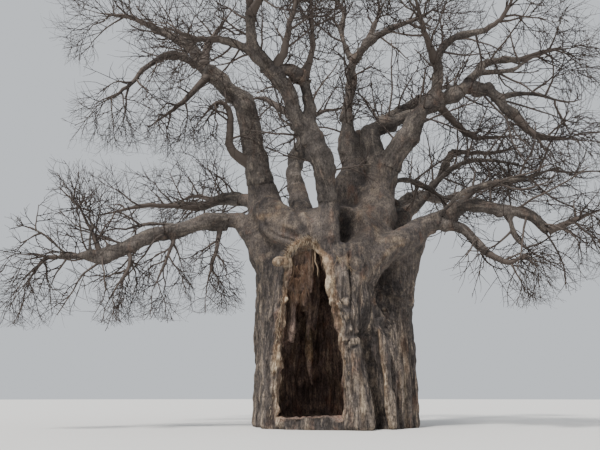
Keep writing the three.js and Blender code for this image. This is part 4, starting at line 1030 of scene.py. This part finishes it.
def add_front(relief, co, outside):
    """Adds the front's own knots, ridges and grooves, and tells where its ridges are and how much painted
    shade darkens its grooves.
    """
    x, y, z = co.T
    for *place, high in FRONT_FORMS:
        rough = 2.2 * noise(co * 8, 55) if high > 0.08 and place[3] < 0.3 else 0
        relief += patch(x, z, *place) * smoothstep(-y, 1.1, 1.6) * high * (1 + rough) * outside
    wobble = layers(co, *LINE_WOBBLE)
    ridge, groove_shade = np.zeros((2, len(co)))
    for stations, left, right, high, tint in FRONT_LINES:
        gap = front_line(co, stations) + wobble
        line = bump(gap, 0, np.where(gap < 0, left, right)) * smoothstep(-y, 0.9, 1.4) * outside
        relief += line * high
        # Each groove's tint is painted shade that darkens the bark in it
        shown = ridge if high > 0 else groove_shade
        np.maximum(shown, line * tint, out=shown)
    return ridge, groove_shade


def torn_wood(co, inside, lipped, ridge, edge, front):
    """Where the wood is torn and pale: the mouth's edge and lips, bare patches, rotted plates, and painted
    light on the right boughs' foot.
    """
    x, y, z = co.T
    band = 0.07 + 0.08 * (x < -1.2) * smoothstep(z, 2, 1)
    # The bare patches also hold painted light on the right boughs' foot
    bare_and_painted_light = np.maximum(sum(deep * patch(x, z, *place) for *place, deep in BARE_WOOD_AND_LIGHT) * front, ridge)
    plank = bump(x + 0.62 + 0.08 * z, 0, 0.28) * smoothstep(z, 1.2, 1.4) * (1 - smoothstep(z, 3, 4))
    plank *= smoothstep(0.75 * z - 2.15 - y, -0.35, -0.1) * (y > -0.6)
    slab = smoothstep(-y, 1.72, 1.85) * smoothstep(x, -0.5, -0.7) * (z > 4)
    return np.maximum.reduce([
        bump(np.maximum(edge, 0), 0, band) * (z < 6.1) * smoothstep(-y, 1.3, 1.8) * 0.6,
        lipped * (0.75 + 0.5 * noise(co * (7, 7, 4), 62)),
        bare_and_painted_light * (0.7 + 0.8 * noise(co * (9, 9, 1.5), 63)) * (1 - inside),
        plank * inside,
        inside * smoothstep(noise(co * (5, 5, 0.8), 61), 0.3, 0.7) * 0.35,
        slab * inside * (0.15 + 0.6 * layers(co, *SLAB_GRAIN)),
    ])


def carve_bark(body):
    """Bark relief along the surface's normals, and the masks that lay out the bark's colours."""
    rows, owner, free = skeleton()
    soften_crooks(body, rows, owner)
    co, out = coordinates(body), normals(body)
    x, y, z = co.T
    near, depth, lead = nearest_limb(co, rows, owner)
    on_limb = free[near] * (1 - smoothstep(depth, 0.25, 0.6)) * smoothstep(z, 5.2, 6)
    grain = np.where(on_limb[:, None] > 0.4, grain_of(co, rows[near], owner[near]), co)
    whole = np.where(on_limb > 0.4, smoothstep(lead, 0.02, 0.22), 1)
    lipped = lip_nearness(co)
    inside = hollow_walls(co, out, lipped)
    outside = 1 - inside
    edge = np.abs(front_line(co, MOUTH_LEFT + MOUTH_RIGHT)) + 0.3 * smoothstep(-y, 2.1, 1.5)
    ragged = layers(co, *TEARS)

    # The relief of the trunk, the limbs, the hollow and the torn lips
    low = 1 - smoothstep(z, 3.6, 6.2)
    steep = 1 - smoothstep(np.abs(out[:, 2]), 0.35, 0.75)
    fibre = fibres_of(co, steep)
    folds = ridges(co * (0.8, 0.8, 3.2) + noise(co * 0.9, 37)[:, None] * (0, 0, 1.1), 38)
    trunk_relief = fibre * (0.15 + 0.85 * low) + layers(co, *TRUNK_LUMPS)
    trunk_relief += (folds - 0.4) * 0.012 * smoothstep(z, 4.4, 6.4) * steep
    streaks = noise(grain * (6, 6, 1.1), 44)
    relief = trunk_relief * (1 - on_limb) + limb_bark(co, grain, streaks, rows[near, 6], whole) * on_limb
    relief = relief * outside + layers(co, *HOLLOW_RIBS) * inside
    relief += lipped * (noise(co * (12, 12, 2.5), 52) * 0.045 + ridges(co * (9, 9, 3), 53) * 0.03)
    ridge, groove_shade = add_front(relief, co, outside)

    # The gnarled bark of the column and beside the mouth
    column_front = smoothstep(-y, 1.9, 2.2)
    knots = sum(patch(x, z, *place) for place in KNOTS) * column_front
    knots *= np.tanh(noise(co * (11, 11, 9), 66) * 3.5)
    gnarled = patch(x, z, *GNARLED) * column_front
    gnarled += 0.6 * bump(x, -1.85, 0.3) * smoothstep(-y, 1.5, 2) * (z < 4.6)
    gnarled = np.clip(gnarled + 0.5 * bump(edge, 0, 0.3) * (z < 5.9), 0, 1) * outside * (1 - on_limb)
    knobs = noise(co * (8, 8, 6), 56)
    relief += knots * 0.075 * outside
    relief += gnarled * (knobs * 0.05 + ridges(co * (4.5, 4.5, 3.5), 57) * 0.035)
    moved = co + out * (relief * smoothstep(z, 0, 0.12))[:, None]
    moved[:, 2] = np.where(z < 0.05, 0, np.maximum(moved[:, 2], 0))
    set_coordinates(body, moved)

    # The masks
    front = smoothstep(-y, 0.8, 1.4)
    torn_and_painted_light = torn_wood(co, inside, lipped, ridge, edge + ragged, front)
    # The relief's own height as colour: painted shade in its hollows, painted highlight on its crests
    crest = fibre * (0.25 + 0.75 * low) * 12 + gnarled * knobs * 1.2
    crest += layers(co, (3.1, 35, 0.35), (7.5, 36, 0.3)) + knots * 1.8
    crest = crest * (1 - on_limb) + on_limb * (noise(co * 5.2, 42) * 0.45 + streaks * 0.35 * whole)
    # Painted shade: dark patches in the concavity, the cleft and the folds, with the grooves' painted shade,
    # over random dark tone from the tears' noise
    stain_and_shade = sum(deep * patch(x, z, *place) for *place, deep in STAINS_AND_PAINTED_SHADE) * front + ragged
    masks = dict(
        inside=inside, torn_and_painted_light=np.clip(torn_and_painted_light, 0, 1), grain=grain,
        streaked=(0.2 + 0.8 * low) * steep * (1 - on_limb) + 0.4 * whole * on_limb,
        crest=np.clip(crest, -1, 1) * (1 - 0.4 * inside),
        stain_and_shade=np.clip(np.maximum(stain_and_shade, groove_shade) * outside, 0, 1),
    )
    for name, values in masks.items():
        kind, field = ("FLOAT", "value") if values.ndim == 1 else ("FLOAT_VECTOR", "vector")
        attribute = body.data.attributes.new(name, kind, "POINT")
        attribute.data.foreach_set(field, values.astype(np.float32).ravel())
    return free[near] & (depth < 0.6) & (z > 5)


def split_boughs(body, is_bough):
    """The trunk and the boughs as pieces of their own, both closed where they part."""
    loop = np.empty(len(body.data.loops), int)
    body.data.loops.foreach_get("vertex_index", loop)
    body.data.polygons.foreach_set("select", is_bough[loop].reshape(-1, 4).all(axis=1))
    with editing(body, "FACE") as mesh:
        mesh.separate(type="SELECTED")
    parts = sorted(bpy.context.selected_objects, key=lambda part: coordinates(part)[:, 2].min())
    for part, name in zip(parts, ("trunk_wood", "bough_wood")):
        with editing(part) as mesh:
            mesh.select_all(action="DESELECT")
            mesh.select_non_manifold(extend=False, use_wire=False, use_multi_face=False,
                                     use_non_contiguous=False, use_verts=False)
            mesh.fill_holes(sides=0)
        triangles = sum(len(face.vertices) - 2 for face in part.data.polygons)
        if triangles > MOST_TRIANGLES:
            modify(part, "DECIMATE", ratio=MOST_TRIANGLES / triangles)
        bpy.ops.object.shade_smooth_by_angle(angle=math.radians(75))
        part.name = part.data.name = name
    return parts


# Materials

class Wiring:
    """Adds nodes to a tree from left to right, their sockets linked or set."""

    def __init__(self, tree):
        self.tree = tree

    def add(self, kind, sockets=(), **settings):
        node = self.tree.nodes.new(kind)
        node.location = 200 * len(self.tree.nodes), 0
        for key, value in settings.items():
            setattr(node, key, value)
        for key, value in dict(sockets).items():
            socket = node.inputs[key]
            if isinstance(value, bpy.types.NodeSocket):
                self.tree.links.new(value, socket)
            else:
                socket.default_value = (*value, 1) if socket.type == "RGBA" else value
        return node.outputs

    def mix(self, share, a, b, blend="MIX"):
        return self.add("ShaderNodeMix", {0: share, 6: a, 7: b}, data_type="RGBA", blend_type=blend)[2]

    def calculate(self, operation, *values):
        return self.add("ShaderNodeMath", enumerate(values), operation=operation)[0]

    def times(self, *values):
        product = values[0]
        for value in values[1:]:
            product = self.calculate("MULTIPLY", product, value)
        return product

    def remap(self, value, *limits):
        names = ("From Min", "From Max", "To Min", "To Max")
        return self.add("ShaderNodeMapRange", {"Value": value, **dict(zip(names, limits))})["Result"]

    def noise(self, vector, scale, detail, rough, stretch=(1, 1, 1)):
        vector = self.add("ShaderNodeMapping", {"Vector": vector, "Scale": stretch})["Vector"]
        given = {"Vector": vector, "Scale": scale, "Detail": detail, "Roughness": rough}
        return self.add("ShaderNodeTexNoise", given)["Fac"]


def weathered_bark():
    """Bark colour and height from three tones: patches, streaks along the grain, fine pits, with painted
    shade where the relief is low and painted highlight where it is high.
    """
    tree = bpy.data.node_groups.new("weathered bark", "ShaderNodeTree")
    for side, kind, names in (("INPUT", "Vector", "Place Grain"), ("INPUT", "Float", "Streaked Crest Mottle"),
                              ("INPUT", "Color", "Base Shade Pale Rust"), ("OUTPUT", "Color", "Colour"),
                              ("OUTPUT", "Float", "Height Roughness")):
        for name in names.split():
            tree.interface.new_socket(name, in_out=side, socket_type=f"NodeSocket{kind}")
    w = Wiring(tree)
    place, grain, streaked, crest, mottle, base, shade, pale, rust = w.add("NodeGroupInput")[:9]
    patches = w.noise(place, 0.9, 5, 0.6)
    blotches = w.noise(place, 3.4, 6, 0.65)
    streaks = w.noise(grain, 9, 5, 0.6, (1, 1, 0.12))
    fine = w.noise(place, 22, 6, 0.7, (1, 1, 0.6))
    split = w.noise(grain, 10, 4, 0.55, (1, 1, 0.12))
    rusty = w.noise(place, 2.4, 5, 0.6, (1, 1, 0.5))
    crack = w.calculate("ABSOLUTE", w.calculate("SUBTRACT", split, 0.5))
    crack = w.times(w.remap(crack, 0.008, 0.05, 1, 0), streaked)
    speck = w.remap(fine, 0.38, 0.62, 0.55, 1.4)
    speck = w.add("ShaderNodeCombineColor", {0: speck, 1: speck, 2: speck})[0]
    colour = w.mix(w.remap(patches, 0.38, 0.66), shade, base)
    colour = w.mix(w.remap(rusty, 0.55, 0.68, 0, 0.5), colour, rust)
    colour = w.mix(w.times(w.remap(blotches, 0.48, 0.72), mottle), colour, pale)
    colour = w.mix(w.times(w.remap(streaks, 0.36, 0.47, 1, 0), streaked, 0.75), colour, shade, "MULTIPLY")
    colour = w.mix(w.times(w.remap(streaks, 0.55, 0.66, 0, 0.7), streaked), colour, pale)
    # Painted shade in the relief's hollows and painted highlight on its crests
    colour = w.mix(w.remap(crest, -0.15, -0.9, 0, 0.85), colour, shade)
    colour = w.mix(w.remap(crest, 0.25, 1, 0, 0.6), colour, pale)
    colour = w.mix(w.times(crack, 0.7), colour, shade)
    colour = w.mix(1, colour, speck, "MULTIPLY")
    height = w.times(streaks, 0.6)
    for layer, share in ((fine, 0.4), (blotches, 0.5), (crack, -0.5)):
        height = w.calculate("ADD", height, w.times(layer, share))
    roughness = w.remap(fine, 0.3, 0.7, 0.82, 0.97)
    w.add("NodeGroupOutput", {"Colour": colour, "Height": height, "Roughness": roughness})
    return tree


def bark_material(name, group, tones, hollow):
    """Bark over the torn pale wood and the dark heart wood, laid out by the mesh's own masks."""
    material = bpy.data.materials.new(name)
    material.use_nodes = True
    material.node_tree.nodes.clear()
    w = Wiring(material.node_tree)

    def mask(name, field="Fac"):
        return w.add("ShaderNodeAttribute", attribute_name=name)[field]

    shared = dict(Place=w.add("ShaderNodeTexCoord")["Object"], Grain=mask("grain", "Vector"),
                  Streaked=mask("streaked"), Crest=mask("crest"))

    def surface(tones, mottle=0.6):
        given = dict(zip(("Base", "Shade", "Pale", "Rust"), tones), Mottle=mottle, **shared)
        return w.add("ShaderNodeGroup", given, node_tree=group)

    bark = surface(tones, 0.33 if hollow else 0.23)
    colour = bark["Colour"]
    if hollow:
        # Painted shade and stains: the mask darkens the bark in the concavity, the cleft, the folds and the
        # grooves
        colour = w.mix(w.times(mask("stain_and_shade"), 0.85), colour, STAIN_AND_SHADE_TINT, "MULTIPLY")
        colour = w.mix(mask("inside"), colour, surface(HEART_TONES)["Colour"])
    # Torn pale wood, with painted light on the right boughs' foot
    colour = w.mix(mask("torn_and_painted_light"), colour, surface(TORN_TONES)["Colour"])
    relief = w.add("ShaderNodeBump", {"Strength": 0.9, "Distance": 0.07, "Height": bark["Height"]})
    shader = w.add("ShaderNodeBsdfPrincipled", {
        "Base Color": colour, "Roughness": bark["Roughness"], "Specular IOR Level": 0.25,
        "Normal": relief["Normal"]})
    w.add("ShaderNodeOutputMaterial", {0: shader[0]})
    return material


def plain_material(name, colour, roughness=0.85, gloss=0.2):
    material = bpy.data.materials.new(name)
    material.use_nodes = True
    sockets = material.node_tree.nodes["Principled BSDF"].inputs
    sockets["Base Color"].default_value = (*colour, 1)
    sockets["Roughness"].default_value = roughness
    sockets["Specular IOR Level"].default_value = gloss
    return material


# The camera and the stage

bpy.ops.object.select_all(action="DESELECT")
bpy.ops.object.camera_add(location=(-1.18, -24.5, 1), rotation=(math.radians(90 + 13.7277), 0, 0))
camera = bpy.context.object
camera.data.sensor_width, camera.data.lens, camera.data.clip_end = 36, 42, 400
bpy.context.scene.camera = camera

bpy.ops.mesh.primitive_circle_add(vertices=96, radius=150, fill_type="NGON", location=(0, 60, -0.001))
floor = bpy.context.object
floor.name = "studio_floor"
floor.data.materials.append(plain_material("pale floor", FLOOR_TONE, 0.95, 0.5))

world = bpy.context.scene.world = bpy.data.worlds.new("studio")
world.use_nodes = True
background = world.node_tree.nodes["Background"]
background.inputs["Color"].default_value = (*SKY_TONE, 1)
background.inputs["Strength"].default_value = 0.85

sun_turn = (math.radians(36), 0, math.radians(-34))
bpy.ops.object.light_add(type="SUN", location=(-12, -14, 24), rotation=sun_turn)
sun = bpy.context.object
sun.name = "key_light"
sun.data.energy, sun.data.angle, sun.data.color = 4.3, math.radians(9), SUN_TONE


# The wood

body = woody_body()
trunk, boughs = split_boughs(body, carve_bark(body))
group = weathered_bark()
trunk.data.materials.append(bark_material("trunk bark", group, TRUNK_TONES, True))
boughs.data.materials.append(bark_material("bough bark", group, BOUGH_TONES, False))
for piece, nodes, slot in ((trunk, ["trunk"], "trunk"), (boughs, bough_names, "boughs")):
    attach(piece, "root")
    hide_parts(*nodes)


# The twigs

def mesh_of_tubes(name, bundles):
    """Closed tapering tubes, many at once: each bundle has points, radii, sides and a tone."""
    corners, faces, tones = [], [], []
    total = 0
    for points, radii, sides, tone in bundles:
        count, rings = points.shape[:2]
        along = unit(np.gradient(points, axis=1))
        side = np.broadcast_to((0.31, 0.83, 0.46), along.shape)
        side = unit(side - along * (side * along).sum(-1, keepdims=True))
        other = np.cross(along, side)
        turn = np.arange(sides) * 2 * np.pi / sides
        ring = side[:, :, None] * np.cos(turn)[:, None] + other[:, :, None] * np.sin(turn)[:, None]
        corners.append((points[:, :, None] + ring * radii[:, :, None, None]).reshape(-1, 3))
        start = total + (np.arange(count) * rings * sides)[:, None, None]
        low = start + np.arange(rings - 1)[None, :, None] * sides
        s = np.arange(sides)
        n = (s + 1) % sides
        quads = np.stack([low + s, low + n, low + sides + n, low + sides + s], -1).reshape(-1, 4)
        faces += [quads, start[:, 0] + s[::-1], start[:, 0] + (rings - 1) * sides + s]
        tones += [np.repeat(tone, (rings - 1) * sides), tone, tone]
        total += count * rings * sides
    mesh = bpy.data.meshes.new(name)
    sizes = np.concatenate([np.full(len(part), part.shape[1]) for part in faces])
    for target, field, values in (
            (mesh.vertices, "co", np.concatenate(corners).astype(np.float32)),
            (mesh.loops, "vertex_index", np.concatenate([part.ravel() for part in faces])),
            (mesh.polygons, "loop_start", np.cumsum(sizes) - sizes),
            (mesh.polygons, "material_index", np.concatenate(tones))):
        if field != "material_index":
            target.add(len(values))
        target.foreach_set(field, values.astype(np.float32 if field == "co" else np.int32).ravel())
    mesh.update(calc_edges=True)
    return mesh


def grow_sprays(seed, points, radii, keys, fall, spread, put, room, most=4):
    """The finer orders on a set of bearers: points and radii with equal counts."""
    for level, order in enumerate(FINE_ORDERS):
        points, radii, keys = grow_fine(points, radii, keys, order, most, fall, spread, seed + level, room)
        put.append((points, radii, order["sides"], (keys // 7 + level) % 3))


def grow_ahead(line, spread, fall, seed, later, put, room):
    """A leader past a limb's tip, with its own sprays."""
    ahead = leader(line, spread, fall, seed, room)
    put.append((*ahead, 5, np.array([3])))
    grow_sprays(later, *ahead, np.array([7]), fall, spread, put, room)


whole_room = np.array(cad_low) - TREE_SLACK, np.array(cad_high) + TREE_SLACK
for name in bough_names:
    take(straight_pieces(lines[name], 2 * (len(lines[name]) - 1)), -1)
for index, stem in enumerate(stems.values()):
    take(straight_pieces(stem, len(stem) - 1), index)
grown = [grow_mass(index, name) for index, name in enumerate(MASSES)]
bundles = {spray: [] for spray in SPRAYS}
for index, (name, (parent, at, fall, spread, _)) in enumerate(MASSES.items()):
    put = next(bundles[spray] for spray, masses in SPRAYS.items() if name in masses)
    low, high = np.array(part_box(f"twigs_{name}"))
    room = low - MASS_SLACK, high + MASS_SLACK
    line = stems[name]
    points, radii = bent(line, 6 * (len(line) - 1) + 1, index + 1, STEM_WOBBLE)
    radii = grown_on(points, radii, parent, at)
    put.append((points[None], radii[None], 8, np.array([3])))
    for level, (shoots, (thicker, count, sides)) in enumerate(zip(grown[index], THICKER)):
        if not shoots:
            continue
        found, even = crooked(shoots, count, 17 * index), crooked(shoots, 5, 17 * index)
        tone = np.full(len(shoots), 3 if level == 0 else index % 3)
        put.append((found[0], np.maximum(found[1] * thicker, THINNEST), sides, tone))
        keys = np.array([number for number, _ in shoots])
        grow_sprays(index + 101 + 10 * level, even[0], np.maximum(even[1] * thicker, THINNEST), keys,
                    fall, spread, put, room, OPEN_MASSES.get(name, 4))
    tip = bent(line, 9, index + 1, STEM_WOBBLE)
    grow_sprays(index + 301, tip[0][None], tip[1][None], np.array([5]), fall, spread, put, room)
    grow_ahead(stack(*points.T, radii * 2)[-4:], spread, fall, index + 1, index + 351, put, room)

for name, begins in BEARING.items():
    line = lines[name]
    length = travelled(line[:, :3])[-1] * (1 - begins)
    seed = sum(map(ord, name)) % 97 + 401
    points, _, radii = trace(line, begins + (1 - begins) * np.arange(9) / 8)
    middle = points.mean(axis=0)
    spray = min(SPRAYS, key=lambda s: min(np.linalg.norm(stems[m][0, :3] - middle) for m in SPRAYS[s]))
    put = bundles[spray]
    spread = SHOOT_LENGTHS.get(name, USUAL)
    count = max(int(length * FLANKS_PER_METRE), 2)
    shoots, thick, keys = grow_fine(points[None], radii[None], np.array([3]), FLANK_SHOOTS, count,
                                    FLANK_FALL, spread, seed, whole_room)
    put.append((shoots, thick, FLANK_SHOOTS["sides"], np.full(len(shoots), 3)))
    fine = min(spread, USUAL)
    if name in SMALL_LIMBS:
        grow_ahead(line, 0.9 * fine, 0.2, seed, seed + 31, put, whole_room)
    grow_sprays(seed + 7, shoots, thick, keys, FLANK_FALL, fine, put, whole_room)

tones = [plain_material(f"twig bark {k + 1}", tone) for k, tone in enumerate(TWIG_TONES)]
for spray, masses in SPRAYS.items():
    piece = new_object(f"twigs_{spray}", mesh_of_tubes(f"twigs_{spray}", bundles[spray]))
    for tone in tones:
        piece.data.materials.append(tone)
    piece.data.polygons.foreach_set("use_smooth", np.ones(len(piece.data.polygons), bool))
    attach(piece, "root")
    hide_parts(*[f"twigs_{mass}" for mass in masses])


# Splinters and loose fibres of torn wood round the mouth

def loose_fibres():
    bundles = []
    for k, stations in enumerate(SPLINTERS):
        points, radii = bent(stations, 8, 501 + k, SPLINTER_WOBBLE)
        bundles.append((points[None], radii[None], 5, np.array([k % 2])))
    for k, (along, count, heading, length, thickness) in enumerate(TUFTS + DARK_TUFTS):
        path = stack(*np.transpose(along), 0)
        number = np.arange(count) + 1
        start = trace(path, (np.arange(count) + 0.5) / count)[0]
        points = [start + three_ways(521 + k, number, 1) * (0.05, 0.03, 0.05)]
        way = np.array(heading) + 0.35 * three_ways(521 + k, number, 4)
        reach = length * (0.5 + chance(531 + k, number, 7))[:, None]
        for step in range(1, 5):
            way = unit(way + 0.25 * three_ways(541 + k, number, 3 * step))
            points.append(points[-1] + way * reach / 4)
        radii = thickness / 2 * np.linspace(1, 0.4, 5) * np.ones((count, 1))
        tone = number % 3 if k < len(TUFTS) else np.where(number % 3, 3, 1)
        bundles.append((np.stack(points, axis=1), radii, 3, tone))
    return bundles


fibres = new_object("torn_fibres", mesh_of_tubes("torn_fibres", loose_fibres()))
for k, tone in enumerate(FIBRE_TONES):
    fibres.data.materials.append(plain_material(f"torn fibre {k + 1}", tone))
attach(fibres, "root")
